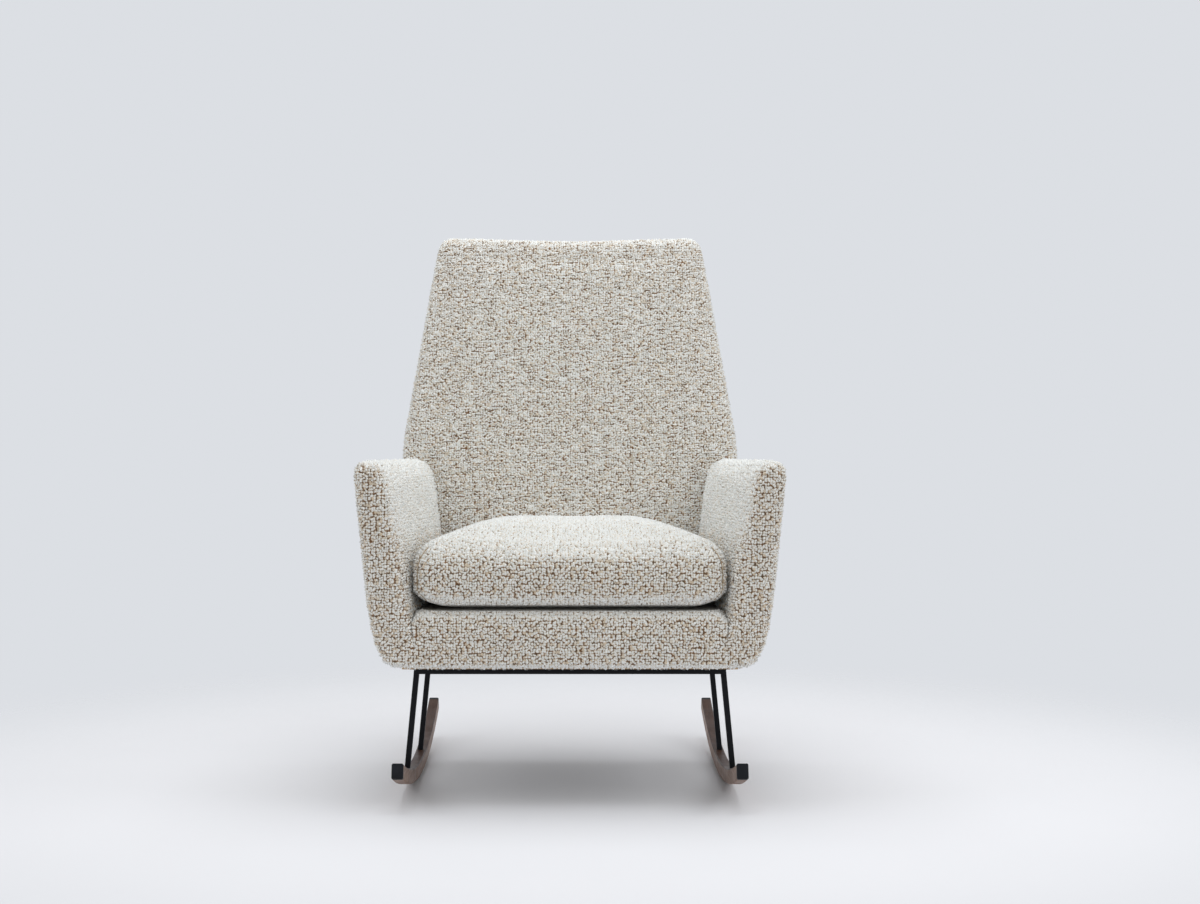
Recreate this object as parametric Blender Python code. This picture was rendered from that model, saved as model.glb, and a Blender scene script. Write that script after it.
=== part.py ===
"""Upholstered rocking chair: padded shell, loose seat cushion, steel bar base and wooden rockers.

Metres, +Z up. The chair faces -Y and is symmetric about X = 0. Lengths along the chair are first laid
out from the front plane of the arms (y = 0); the root empty then moves the whole chair so that its
origin lies on the floor under the middle of its bounding box.
"""
import math

import bmesh
import bpy
from mathutils import Vector

# Clearances
FIT_GAP = 0.0003  # between pieces that touch
BOLT_PLAY = 0.0004  # round a bolt or screw in its hole
CUSHION_PLAY = 0.004  # beside the loose cushion

# Rockers
ROCKER_X = 0.2934  # centre of each rocker
ROCKER_WIDTH = 0.020
ROCKER_DEPTH = 0.027
ROCKER_RADIUS = 1.284
ROCKER_LENGTH = 0.780
ROCKER_FACETS = 21  # odd, so that one facet lies flat on the floor
ROCKER_CHAMFER = 0.002
CONTACT_Y = 0.3400  # where the rockers touch the floor, under the chair's centre of mass
CAP_LENGTH = 0.010
CAP_SPIGOT_RADIUS = 0.004
CAP_SPIGOT_LENGTH = 0.016

# Steel base
BAR = 0.010  # square bar of the legs, and width of the rails
BAR_CHAMFER = 0.0008
LEG_TOP_X = 0.277
FRONT_LEG_BEFORE_CONTACT = 0.207
REAR_LEG_BEHIND_CONTACT = 0.072
BASE_RAIL_BOTTOM = 0.2151
BASE_RAIL_HEIGHT = 0.020
FOOT_GAP = 0.0006  # over the facets of the rocker's hollow side
TAB_THICK = 0.004
TAB_WIDTH = 0.036
TAB_REACH = 0.018  # past the middle of the bolt
TAB_FROM_LEG = 0.040

# Fasteners
BOLT_RADIUS = 0.004
BOLT_HEAD_RADIUS = 0.008
BOLT_HEAD_HEIGHT = 0.005
BASE_BOLT_INTO_WOOD = 0.028
SCREW_RADIUS = 0.0025
SCREW_HEAD_RADIUS = 0.005
SCREW_HEAD_HEIGHT = 0.004
SCREW_INTO_LEG = 0.020
SCREW_HEAD_RECESS = 0.007  # depth of the counterbore in the rocker
ROUND_SIDES = 12

# Seat frame
DUST_COVER_THICK = 0.0012
DUST_COVER_LAP = 0.008  # in front of the front rail
SEAT_RAIL_HEIGHT = 0.075
SEAT_RAIL_THICK = 0.026
CORNER_BLOCK_LEG = 0.055
CORNER_BLOCK_DROP = 0.010  # below the top of the rails
SPRING_COUNT = 4
SPRING_SPACING = 0.100
SPRING_WIRE = 0.0038
SPRING_BENDS = 11
SPRING_BEND_STEPS = 4
SPRING_HALF_BAR = 0.012
DECK_PAD_THICK = 0.022
APRON_SET_BACK = 0.002
APRON_PAD = 0.028
APRON_LIP = 0.030  # how far the apron reaches back over the front rail
APRON_TOP_RADIUS = 0.016
APRON_BOTTOM_RADIUS = 0.014
APRON_CORNER_RADIUS = 0.025  # of the top corners, beside the arms
APRON_ARC_STEPS = 4

# Arms
ARM_INNER_X = 0.262  # inner face at the front, at the underside
ARM_TOP = 0.600
ARM_FLARE = math.radians(9.4)
ARM_TOE = math.radians(4.8)
ARM_BOTTOM_FLAT = 0.037
ARM_BELLY = 0.0725  # thickness where the arm is fullest
ARM_BELLY_POWER = 3.0  # over 2 for a lower corner that is fuller than an ellipse
ARM_BELLY_RISE = 0.110  # height of the belly over the underside
ARM_TOP_THICK = 0.0565
ARM_TOP_OUTER_RADIUS = 0.023
ARM_TOP_INNER_WIDTH = 0.026
ARM_TOP_INNER_DROP = 0.042
ARM_FRONT_RADIUS = 0.021
ARM_FRONT_STEPS = 4
ARM_JOINT_LOW = 0.300  # below this height the inner front edge is square, against the apron
ARM_JOINT_HIGH = 0.360  # above this height it is as round as the rest of the front
ARM_ARC_STEPS = 6
ARM_INNER_PAD = 0.014
ARM_BOARD_THICK = 0.018
ARM_BOARD_FRONT = 0.024
ARM_BOARD_BELOW_TOP = 0.034
ARM_BOLT_FRONT = 0.200
ARM_BOLT_REAR = 0.310
ARM_BOLT_RISE = 0.050
ARM_BOLT_INTO_BOARD = 0.013

# Back
BACK_RECLINE = math.radians(12.0)
BACK_AT_DECK = 0.450  # front plane of the back at the height of the deck
BACK_TOP = 1.068
BACK_BOTTOM_HALF = 0.292
BACK_WIDEST_HALF = 0.345
BACK_WIDEST_Z = 0.608
BACK_TOP_HALF = 0.272
BACK_BOTTOM_RADIUS = 0.045
BACK_WIDEST_RADIUS = 0.350
BACK_TOP_RADIUS = 0.030
BACK_CORNER_STEPS = 5
BACK_PAD_FACE = 0.040  # padding in front of the frame
BACK_PAD_DEPTH = 0.070
BACK_PAD_WALL = 0.014
BACK_EDGE_RADIUS = 0.024
BACK_CROWN = 0.006
BACK_CROWN_START = 0.110  # inset at which the crown begins, above the deck and inside the arms
BACK_CROWN_END = 0.230
BACK_CROWN_STEPS = 4
OUTSIDE_BACK_THICK = 0.018
OUTSIDE_BACK_RADIUS = 0.010
STILE_WIDTH = 0.034
STILE_BOTTOM_OUTER = 0.276
STILE_TOP_OUTER = 0.250
STILE_ABOVE_UNDERSIDE = 0.046
STILE_BELOW_TOP = 0.032
BACK_RAIL_HEIGHT = 0.055
LUMBAR_RAIL_Z = 0.600
STRAP_THICK = 0.0012
STRAP_WIDTH = 0.050
STRAP_ROWS = 4
STRAP_COLUMNS = 2
STRAP_COLUMN_X = 0.080
BACK_BOLT_X = 0.140
BACK_BOLT_INTO_RAIL = 0.030

# Seat cushion
CUSHION_FRONT = -0.002
CUSHION_HEIGHT = 0.157  # at the middle of the crown
CUSHION_CROWN = 0.034
CUSHION_BOTTOM_ROUND = 0.030
CUSHION_TOP_ROUND = 0.046
CUSHION_CORNER_RADIUS = 0.050
CUSHION_DRAW_IN = 0.004  # of the sides between the corners
CUSHION_CROWN_INSET = 0.200
CUSHION_CROWN_POWER = 3.2  # over 2 for a crown that is flat in the middle
CUSHION_ROUND_STEPS = 4
CUSHION_CROWN_STEPS = 7
CUSHION_CORNER_STEPS = 5

# Heights and lengths that follow from the above
BASE_TOP = BASE_RAIL_BOTTOM + BASE_RAIL_HEIGHT
UNDERSIDE = BASE_TOP + DUST_COVER_THICK + 2 * FIT_GAP
SEAT_RAIL_TOP = UNDERSIDE + SEAT_RAIL_HEIGHT
SPRING_Z = SEAT_RAIL_TOP + FIT_GAP + SPRING_WIRE / 2
DECK_BOTTOM = SPRING_Z + SPRING_WIRE / 2 + FIT_GAP
DECK_TOP = DECK_BOTTOM + DECK_PAD_THICK
CUSHION_BOTTOM = DECK_TOP + FIT_GAP
FRONT_RAIL_Y = APRON_SET_BACK + APRON_PAD
DECK_FRONT = FRONT_RAIL_Y + APRON_LIP
FRONT_LEG_Y = CONTACT_Y - FRONT_LEG_BEFORE_CONTACT
REAR_LEG_Y = CONTACT_Y + REAR_LEG_BEHIND_CONTACT
ROCKER_END_ANGLE = math.asin(ROCKER_LENGTH / 2 / ROCKER_RADIUS)
CAP_ANGLE = CAP_LENGTH / ROCKER_RADIUS
GAP_ANGLE = FIT_GAP / ROCKER_RADIUS
WOOD_END_ANGLE = ROCKER_END_ANGLE - CAP_ANGLE
FACET_ANGLE = 2 * WOOD_END_ANGLE / ROCKER_FACETS
ARC_CENTRE_Z = ROCKER_RADIUS * math.cos(FACET_ANGLE / 2)
STRAP_FRONT = BACK_PAD_FACE + FIT_GAP
BACK_FRAME_FRONT = STRAP_FRONT + STRAP_THICK + FIT_GAP
BACK_FRAME_REAR = BACK_PAD_DEPTH - FIT_GAP
STILE_BOTTOM = UNDERSIDE + STILE_ABOVE_UNDERSIDE
STILE_TOP = BACK_TOP - STILE_BELOW_TOP

SIDES = {"left": -1, "right": 1}


# Materials


def new_material(name, colour, roughness, metallic=0.0):
    material = bpy.data.materials.new(name)
    material.use_nodes = True
    shader = material.node_tree.nodes["Principled BSDF"]
    shader.inputs["Base Color"].default_value = (*colour, 1.0)
    shader.inputs["Roughness"].default_value = roughness
    shader.inputs["Metallic"].default_value = metallic
    return material


def make_materials():
    return {
        "fabric": new_material("cream boucle", (0.62, 0.56, 0.48), 0.95),
        "rocker": new_material("brown stained wood", (0.20, 0.13, 0.09), 0.45),
        "base": new_material("black coated steel", (0.015, 0.016, 0.02), 0.5, 0.3),
        "cap": new_material("black plastic", (0.02, 0.02, 0.022), 0.55),
        "bolt": new_material("zinc plated steel", (0.55, 0.55, 0.56), 0.35, 1.0),
        "timber": new_material("frame timber", (0.55, 0.40, 0.24), 0.7),
        "spring": new_material("spring steel", (0.30, 0.30, 0.31), 0.4, 1.0),
        "pad": new_material("foam and wadding", (0.75, 0.72, 0.66), 0.95),
        "strap": new_material("elastic webbing", (0.10, 0.09, 0.08), 0.9),
        "dust cover": new_material("black lining cloth", (0.03, 0.03, 0.03), 0.95),
    }


# Mesh building


def place(name, mesh_builder, material, root, hidden=False):
    """Turn a bmesh into an object under the root, smooth on its round stretches."""
    bmesh.ops.recalc_face_normals(mesh_builder, faces=mesh_builder.faces)
    mesh = bpy.data.meshes.new(name)
    mesh_builder.to_mesh(mesh)
    mesh_builder.free()
    mesh.shade_smooth()
    mesh.set_sharp_from_angle(angle=math.radians(35))
    mesh.materials.append(material)
    obj = bpy.data.objects.new(name, mesh)
    obj.parent = root
    bpy.context.collection.objects.link(obj)
    if hidden:
        obj.hide_render = True
        obj.display_type = "WIRE"
    return obj


def loft(rings):
    """Skin equal rings of points, with a cap at each end."""
    builder = bmesh.new()
    rows = [[builder.verts.new(point) for point in ring] for ring in rings]
    for lower, upper in zip(rows, rows[1:]):
        count = len(lower)
        for i in range(count):
            j = (i + 1) % count
            builder.faces.new((lower[i], lower[j], upper[j], upper[i]))
    builder.faces.new(rows[0])
    builder.faces.new(rows[-1])
    return builder


def block(corner, first, second, third):
    """A six-sided solid; corner(a, b, c) gives a point for each pair of limits."""
    rings = []
    for c in third:
        ring = [corner(first[0], second[0], c), corner(first[1], second[0], c)]
        ring += [corner(first[1], second[1], c), corner(first[0], second[1], c)]
        rings.append(ring)
    return loft(rings)


def turned(start, axis, profile, sides=ROUND_SIDES):
    """A turned solid whose profile lists (radius, distance along the axis)."""
    along = Vector(axis).normalized()
    across = along.orthogonal().normalized()
    third = along.cross(across)
    rings = []
    for radius, distance in profile:
        centre = Vector(start) + along * distance
        ring = []
        for i in range(sides):
            angle = 2 * math.pi * i / sides
            ring.append(centre + radius * (math.cos(angle) * across + math.sin(angle) * third))
        rings.append(ring)
    return loft(rings)


def subtract(obj, cutter):
    modifier = obj.modifiers.new(cutter.name, "BOOLEAN")
    modifier.operation = "DIFFERENCE"
    modifier.object = cutter


def unite(obj, other):
    modifier = obj.modifiers.new(other.name, "BOOLEAN")
    modifier.operation = "UNION"
    modifier.object = other


def drill(obj, start, axis, profile, material, root):
    """Cut a round hole; the profile lists (radius, distance along the axis)."""
    name = f"{obj.name} hole {len(obj.modifiers) + 1}"
    subtract(obj, place(name, turned(start, axis, profile), material, root, hidden=True))


def round_corners(corners, steps):
    """Points along a convex outline whose corners are (x, y, radius), each turned in equal steps."""
    points = []
    count = len(corners)
    for i, (x, y, radius) in enumerate(corners):
        here = Vector((x, y))
        before = (Vector(corners[i - 1][:2]) - here).normalized()
        after = (Vector(corners[(i + 1) % count][:2]) - here).normalized()
        half = before.angle(after) / 2
        centre = here + (before + after).normalized() * radius / math.sin(half)
        start = here + before * radius / math.tan(half) - centre
        turn = before.cross(after) / abs(before.cross(after)) * (math.pi - 2 * half)
        for k in range(steps + 1):
            angle = -turn * k / steps
            cos, sin = math.cos(angle), math.sin(angle)
            points.append(centre + Vector((start.x * cos - start.y * sin, start.x * sin + start.y * cos)))
    return points


def inset_corners(corners, distance, least_radius=0.004):
    """Move each side of an anticlockwise outline inwards."""
    count = len(corners)
    moved = []
    for i in range(count):
        start = Vector(corners[i][:2])
        end = Vector(corners[(i + 1) % count][:2])
        along = (end - start).normalized()
        inward = Vector((-along.y, along.x))
        moved.append((start + inward * distance, along))
    result = []
    for i in range(count):
        (p, d), (q, e) = moved[i - 1], moved[i]
        length = (q - p).cross(e) / d.cross(e)
        corner = p + d * length
        result.append((corner.x, corner.y, max(corners[i][2] - distance, least_radius)))
    return result


def quarter(steps):
    """(inset, rise) pairs of a quarter round of unit radius, from its flat end to its side."""
    pairs = []
    for k in range(steps + 1):
        angle = math.pi / 2 * k / steps
        pairs.append((1 - math.sin(angle), 1 - math.cos(angle)))
    return pairs


# Places on the chair


def arm_point(side, y, z, depth):
    """A point of the flared, toed-out arm; depth is measured outwards from its inner face."""
    lean = (z - UNDERSIDE) * math.tan(ARM_FLARE) - y * math.tan(ARM_TOE)
    return Vector((side * (ARM_INNER_X + lean + depth), y, z))


def arm_normal(side):
    return Vector((side, math.tan(ARM_TOE), -math.tan(ARM_FLARE))).normalized()


def back_y(z, depth=0.0):
    """Length at which the reclined front plane of the back stands, plus a depth behind it."""
    return BACK_AT_DECK + (z - DECK_TOP) * math.tan(BACK_RECLINE) + depth


def back_point(x, z, depth):
    return Vector((x, back_y(z, depth), z))


def rocker_point(angle, height, x):
    """A point on the rocker; height is measured from its underside towards the arc's centre."""
    reach = ROCKER_RADIUS - height
    return Vector((x, CONTACT_Y + reach * math.sin(angle), ARC_CENTRE_Z - reach * math.cos(angle)))


def rocker_top_z(y):
    reach = ROCKER_RADIUS - ROCKER_DEPTH
    return ARC_CENTRE_Z - math.sqrt(reach**2 - (y - CONTACT_Y) ** 2)


def leg_axis(side, y):
    top = Vector((side * LEG_TOP_X, y, BASE_RAIL_BOTTOM - FIT_GAP))
    foot = Vector((side * ROCKER_X, y, rocker_top_z(y)))
    return top, foot


def leg_splay():
    """Sideways shift of a leg for each metre of height."""
    top, foot = leg_axis(1, FRONT_LEG_Y)
    return (foot.x - top.x) / (top.z - foot.z)


def side_rail_middle_x(y):
    """Middle of a seat side rail at the underside."""
    return ARM_INNER_X + ARM_INNER_PAD - FIT_GAP - SEAT_RAIL_THICK / 2 - y * math.tan(ARM_TOE)


def tab_places():
    return {"front": FRONT_LEG_Y + TAB_FROM_LEG, "rear": REAR_LEG_Y - TAB_FROM_LEG}


# Rockers


def rocker_section(angle, centre_x, inset=0.0):
    half = ROCKER_WIDTH / 2
    corners = [
        (-half, 0.0, ROCKER_CHAMFER),
        (half, 0.0, ROCKER_CHAMFER),
        (half, ROCKER_DEPTH, ROCKER_CHAMFER),
        (-half, ROCKER_DEPTH, ROCKER_CHAMFER),
    ]
    outline = round_corners(inset_corners(corners, inset, ROCKER_CHAMFER / 2), 1)
    return [rocker_point(angle, point.y, centre_x + point.x) for point in outline]


def make_rocker(name, side, materials, root):
    rings = []
    for i in range(ROCKER_FACETS + 1):
        rings.append(rocker_section(-WOOD_END_ANGLE + i * FACET_ANGLE, side * ROCKER_X))
    rocker = place(f"{name}_rocker", loft(rings), materials["rocker"], root)
    for end in (-1, 1):
        mouth, inward = spigot_axis(side, end)
        radius = CAP_SPIGOT_RADIUS + FIT_GAP
        depth = CAP_SPIGOT_LENGTH + FIT_GAP
        drill(rocker, mouth - inward * CAP_LENGTH, inward, [(radius, 0), (radius, CAP_LENGTH + depth)],
              materials["rocker"], root)
    for y in (FRONT_LEG_Y, REAR_LEG_Y):
        start, up, under = screw_axis(side, y)
        shank = SCREW_RADIUS + BOLT_PLAY
        head = SCREW_HEAD_RADIUS + BOLT_PLAY
        below = under + ROCKER_DEPTH
        profile = [(head, -below), (head, 0), (shank, 0), (shank, ROCKER_DEPTH)]
        drill(rocker, start, up, profile, materials["rocker"], root)


def spigot_axis(side, end):
    """Middle of a rocker's wooden end and the direction into the wood."""
    angle = end * WOOD_END_ANGLE
    mouth = rocker_point(angle, ROCKER_DEPTH / 2, side * ROCKER_X)
    return mouth, Vector((0, -end * math.cos(angle), -end * math.sin(angle)))


def make_rocker_cap(name, side, end, materials, root):
    rings = []
    for angle, inset in (
        (WOOD_END_ANGLE + GAP_ANGLE, 0.0),
        (ROCKER_END_ANGLE - CAP_ANGLE / 5, 0.0),
        (ROCKER_END_ANGLE, ROCKER_CHAMFER / 2),
    ):
        rings.append(rocker_section(end * angle, side * ROCKER_X, inset))
    cap = place(name, loft(rings), materials["cap"], root)
    mouth, inward = spigot_axis(side, end)
    start = mouth - inward * CAP_LENGTH / 2
    profile = [(CAP_SPIGOT_RADIUS, 0), (CAP_SPIGOT_RADIUS, CAP_LENGTH / 2 + CAP_SPIGOT_LENGTH)]
    unite(cap, place(f"{name} spigot", turned(start, inward, profile), materials["cap"], root, hidden=True))


# Steel base


def make_leg(name, side, y, materials, root):
    top, foot = leg_axis(side, y)
    half = BAR / 2

    def corner(across, along, end):
        z = top.z if end else rocker_top_z(y + along) + FOOT_GAP
        x = top.x + side * leg_splay() * (top.z - z)
        return Vector((x + across, y + along, z))

    builder = block(corner, (-half, half), (-half, half), (0, 1))
    upright = [edge for edge in builder.edges if abs(edge.verts[0].co.z - edge.verts[1].co.z) > BAR]
    bmesh.ops.bevel(builder, geom=upright, offset=BAR_CHAMFER, segments=1, affect="EDGES")
    leg = place(name, builder, materials["base"], root)
    start, up, under = screw_axis(side, y)
    radius = SCREW_RADIUS + BOLT_PLAY
    reach = screw_length(under) + BOLT_PLAY
    drill(leg, start, up, [(radius, 0), (radius, reach)], materials["base"], root)


def screw_axis(side, y):
    """Seat of a rocker screw's head, its direction, and its depth under the seat to the floor side."""
    top, foot = leg_axis(side, y)
    up = (top - foot).normalized()
    length = (ROCKER_DEPTH - SCREW_HEAD_RECESS) / up.z
    return foot - up * length, up, SCREW_HEAD_RECESS / up.z


def screw_length(under):
    return ROCKER_DEPTH - under + SCREW_INTO_LEG


def make_rocker_screw(name, side, y, materials, root):
    start, up, under = screw_axis(side, y)
    seat = -FIT_GAP
    profile = [
        (SCREW_HEAD_RADIUS, seat - SCREW_HEAD_HEIGHT),
        (SCREW_HEAD_RADIUS, seat),
        (SCREW_RADIUS, seat),
        (SCREW_RADIUS, screw_length(under)),
    ]
    place(name, turned(start, up, profile), materials["bolt"], root)


def make_cross_rail(name, y, materials, root):
    """A rail across the base; its ends carry on the slope of the legs."""
    half = BAR / 2

    def corner(end, along, z):
        reach = LEG_TOP_X + half - leg_splay() * (z - BASE_RAIL_BOTTOM)
        return Vector((end * reach, y + along, z))

    builder = block(corner, (-1, 1), (-half, half), (BASE_RAIL_BOTTOM, BASE_TOP))
    place(name, builder, materials["base"], root)


def base_side_inner(z):
    return LEG_TOP_X - BAR / 2 - leg_splay() * (z - BASE_RAIL_BOTTOM)


def make_base_side_rail(name, side, materials, root):
    def corner(depth, y, z):
        return Vector((side * (base_side_inner(z) + depth), y, z))

    front = FRONT_LEG_Y + BAR / 2 + FIT_GAP
    rear = REAR_LEG_Y - BAR / 2 - FIT_GAP
    builder = block(corner, (0, BAR), (front, rear), (BASE_RAIL_BOTTOM, BASE_TOP))
    place(name, builder, materials["base"], root)


def make_mount_tab(name, side, y, materials, root):
    """A plate welded inside a base side rail, under the seat's side rail."""
    hole_x = side_rail_middle_x(y)
    bottom = BASE_TOP - TAB_THICK

    def corner(outer, along, z):
        x = base_side_inner(z) - FIT_GAP if outer else hole_x - TAB_REACH
        return Vector((side * x, y + along, z))

    builder = block(corner, (0, 1), (-TAB_WIDTH / 2, TAB_WIDTH / 2), (bottom, BASE_TOP))
    tab = place(name, builder, materials["base"], root)
    radius = BOLT_RADIUS + BOLT_PLAY
    start = (side * hole_x, y, bottom - TAB_THICK)
    drill(tab, start, (0, 0, 1), [(radius, 0), (radius, 3 * TAB_THICK)], materials["base"], root)


def headed_bolt(start, axis, length):
    """A bolt whose head seats at start and whose shank runs along the axis."""
    profile = [
        (BOLT_HEAD_RADIUS, -FIT_GAP - BOLT_HEAD_HEIGHT),
        (BOLT_HEAD_RADIUS, -FIT_GAP),
        (BOLT_RADIUS, -FIT_GAP),
        (BOLT_RADIUS, length),
    ]
    return turned(start, axis, profile)


def make_base_bolt(name, side, y, materials, root):
    bottom = BASE_TOP - TAB_THICK
    length = UNDERSIDE - bottom + BASE_BOLT_INTO_WOOD
    start = (side * side_rail_middle_x(y), y, bottom)
    place(name, headed_bolt(start, (0, 0, 1), length), materials["bolt"], root)


# Seat frame


def make_seat_side_rail(name, side, materials, root):
    outer = ARM_INNER_PAD - FIT_GAP

    def corner(depth, end, z):
        y = back_y(z, -FIT_GAP) if end else FRONT_RAIL_Y
        return arm_point(side, y, z, depth)

    builder = block(corner, (outer - SEAT_RAIL_THICK, outer), (0, 1), (UNDERSIDE, SEAT_RAIL_TOP))
    rail = place(f"seat_{name}_rail", builder, materials["timber"], root)
    radius = BOLT_RADIUS + BOLT_PLAY
    for y in tab_places().values():
        start = (side * side_rail_middle_x(y), y, UNDERSIDE - BASE_BOLT_INTO_WOOD)
        profile = [(radius, 0), (radius, 2 * BASE_BOLT_INTO_WOOD + BOLT_PLAY)]
        drill(rail, start, (0, 0, 1), profile, materials["timber"], root)
    for y in (ARM_BOLT_FRONT, ARM_BOLT_REAR):
        start, axis = arm_bolt_axis(side, y)
        profile = [(radius, -SEAT_RAIL_THICK), (radius, 2 * SEAT_RAIL_THICK)]
        drill(rail, start, axis, profile, materials["timber"], root)


def seat_inner_point(side, y, z, inset=FIT_GAP):
    """A point beside the inner face of a seat side rail."""
    return arm_point(side, y, z, ARM_INNER_PAD - FIT_GAP - SEAT_RAIL_THICK - inset)


def make_seat_cross_rail(name, front_y, rear_y, materials, root):
    def corner(side, end, z):
        return seat_inner_point(side, rear_y(z) if end else front_y(z), z)

    builder = block(corner, (-1, 1), (0, 1), (UNDERSIDE, SEAT_RAIL_TOP))
    return place(name, builder, materials["timber"], root)


def rear_rail_front(z):
    return back_y(z, -FIT_GAP - SEAT_RAIL_THICK)


def make_seat_cross_rails(materials, root):
    def front_rail_front(z):
        return FRONT_RAIL_Y

    def front_rail_rear(z):
        return FRONT_RAIL_Y + SEAT_RAIL_THICK

    def rear_rail_rear(z):
        return back_y(z, -FIT_GAP)

    make_seat_cross_rail("seat_front_rail", front_rail_front, front_rail_rear, materials, root)
    rear = make_seat_cross_rail("seat_rear_rail", rear_rail_front, rear_rail_rear, materials, root)
    radius = BOLT_RADIUS + BOLT_PLAY
    for side in SIDES.values():
        start, axis = back_bolt_axis(side)
        profile = [(radius, -SEAT_RAIL_THICK), (radius, 2 * SEAT_RAIL_THICK)]
        drill(rear, start, axis, profile, materials["timber"], root)


def make_corner_block(name, side, front, materials, root):
    """A three-sided block glued into a corner of the seat frame."""
    top = SEAT_RAIL_TOP - CORNER_BLOCK_DROP
    rings = []
    for z in (UNDERSIDE + FIT_GAP, top):
        if front:
            rail_y = FRONT_RAIL_Y + SEAT_RAIL_THICK + FIT_GAP
            far_y = rail_y + CORNER_BLOCK_LEG
        else:
            rail_y = rear_rail_front(z) - FIT_GAP
            far_y = rail_y - CORNER_BLOCK_LEG
        corner = seat_inner_point(side, rail_y, z)
        inner = corner - Vector((side * CORNER_BLOCK_LEG, 0, 0))
        rings.append([corner, seat_inner_point(side, far_y, z), inner])
    place(name, loft(rings), materials["timber"], root)


def make_spring(name, centre_x, materials, root):
    """A sinuous spring: bars across the seat joined by half rounds at alternate ends."""
    front = FRONT_RAIL_Y + SEAT_RAIL_THICK / 2
    rear = back_y(SEAT_RAIL_TOP, -SEAT_RAIL_THICK / 2)
    radius = (rear - front) / SPRING_BENDS / 2
    tail = SPRING_HALF_BAR + radius / 2
    points = [(centre_x - tail, front)]
    for bend in range(SPRING_BENDS):
        hand = 1 if bend % 2 == 0 else -1
        middle_y = front + (2 * bend + 1) * radius
        for step in range(SPRING_BEND_STEPS + 1):
            angle = math.pi * (step / SPRING_BEND_STEPS - 0.5)
            x = centre_x + hand * (SPRING_HALF_BAR + radius * math.cos(angle))
            points.append((x, middle_y + radius * math.sin(angle)))
    points.append((centre_x - hand * tail, rear))
    curve = bpy.data.curves.new(name, "CURVE")
    curve.dimensions = "3D"
    curve.bevel_depth = SPRING_WIRE / 2
    curve.bevel_resolution = 1
    curve.use_fill_caps = True
    curve.materials.append(materials["spring"])
    line = curve.splines.new("POLY")
    line.points.add(len(points) - 1)
    for place_on_line, (x, y) in zip(line.points, points):
        place_on_line.co = (x, y, SPRING_Z, 1)
    spring = bpy.data.objects.new(name, curve)
    spring.parent = root
    bpy.context.collection.objects.link(spring)


def make_deck_pad(materials, root):
    def corner(side, end, z):
        y = back_y(z, -FIT_GAP) if end else DECK_FRONT + FIT_GAP
        return arm_point(side, y, z, -FIT_GAP)

    builder = block(corner, (-1, 1), (0, 1), (DECK_BOTTOM, DECK_TOP))
    place("deck_pad", builder, materials["pad"], root)


def make_dust_cover(materials, root):
    """Cloth under the whole frame, arm boards and back rail included, with a hole for each base bolt."""
    top = UNDERSIDE - FIT_GAP

    def corner(side, end, z):
        y = back_y(UNDERSIDE, BACK_PAD_DEPTH) if end else FRONT_RAIL_Y - DUST_COVER_LAP
        edge = arm_point(side, y, UNDERSIDE, ARM_INNER_PAD + ARM_BOARD_THICK + FIT_GAP)
        return Vector((edge.x, y, z))

    builder = block(corner, (-1, 1), (0, 1), (top - DUST_COVER_THICK, top))
    cover = place("dust_cover", builder, materials["dust cover"], root)
    radius = BOLT_RADIUS + BOLT_PLAY
    for side in SIDES.values():
        for y in tab_places().values():
            start = (side * side_rail_middle_x(y), y, BASE_TOP - TAB_THICK)
            profile = [(radius, 0), (radius, 4 * TAB_THICK)]
            drill(cover, start, (0, 0, 1), profile, materials["dust cover"], root)


def apron_profile(drop):
    """(length, height) round the apron, with the front of its top lowered by drop."""
    front = APRON_SET_BACK
    rail_face = FRONT_RAIL_Y - FIT_GAP
    outer = [
        (front, UNDERSIDE, APRON_BOTTOM_RADIUS),
        (rail_face, UNDERSIDE, FIT_GAP),
        (rail_face, DECK_TOP - drop, FIT_GAP),
        (front, DECK_TOP - drop, APRON_TOP_RADIUS),
    ]
    outline = round_corners(outer, APRON_ARC_STEPS)
    arc = APRON_ARC_STEPS + 1
    lip = [Vector((rail_face, UNDERSIDE)), Vector((rail_face, DECK_BOTTOM))]
    lip += [Vector((DECK_FRONT, DECK_BOTTOM)), Vector((DECK_FRONT, DECK_TOP))]
    return outline[:arc] + lip + outline[3 * arc:]


def make_front_apron(materials, root):
    """Padding over the front rail, with a lip that reaches back to the deck and rounded top corners."""
    left, right = [], []
    for inset, rise in quarter(APRON_ARC_STEPS):
        profile = apron_profile(inset * APRON_CORNER_RADIUS)
        depth = -FIT_GAP - rise * APRON_CORNER_RADIUS
        for side, rings in ((-1, left), (1, right)):
            rings.append([arm_point(side, point.x, point.y, depth) for point in profile])
    place("front_apron", loft(left + right[::-1]), materials["fabric"], root)


# Arms


def ellipse(centre, radii, start, end, steps, power=2.0):
    """Points of an elliptic arc; a power over 2 draws its corners out."""
    points = []
    for k in range(steps + 1):
        angle = math.radians(start + (end - start) * k / steps)
        across = math.copysign(abs(math.cos(angle)) ** (2 / power), math.cos(angle))
        up = math.copysign(abs(math.sin(angle)) ** (2 / power), math.sin(angle))
        points.append((centre[0] + radii[0] * across, centre[1] + radii[1] * up))
    return points


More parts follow.
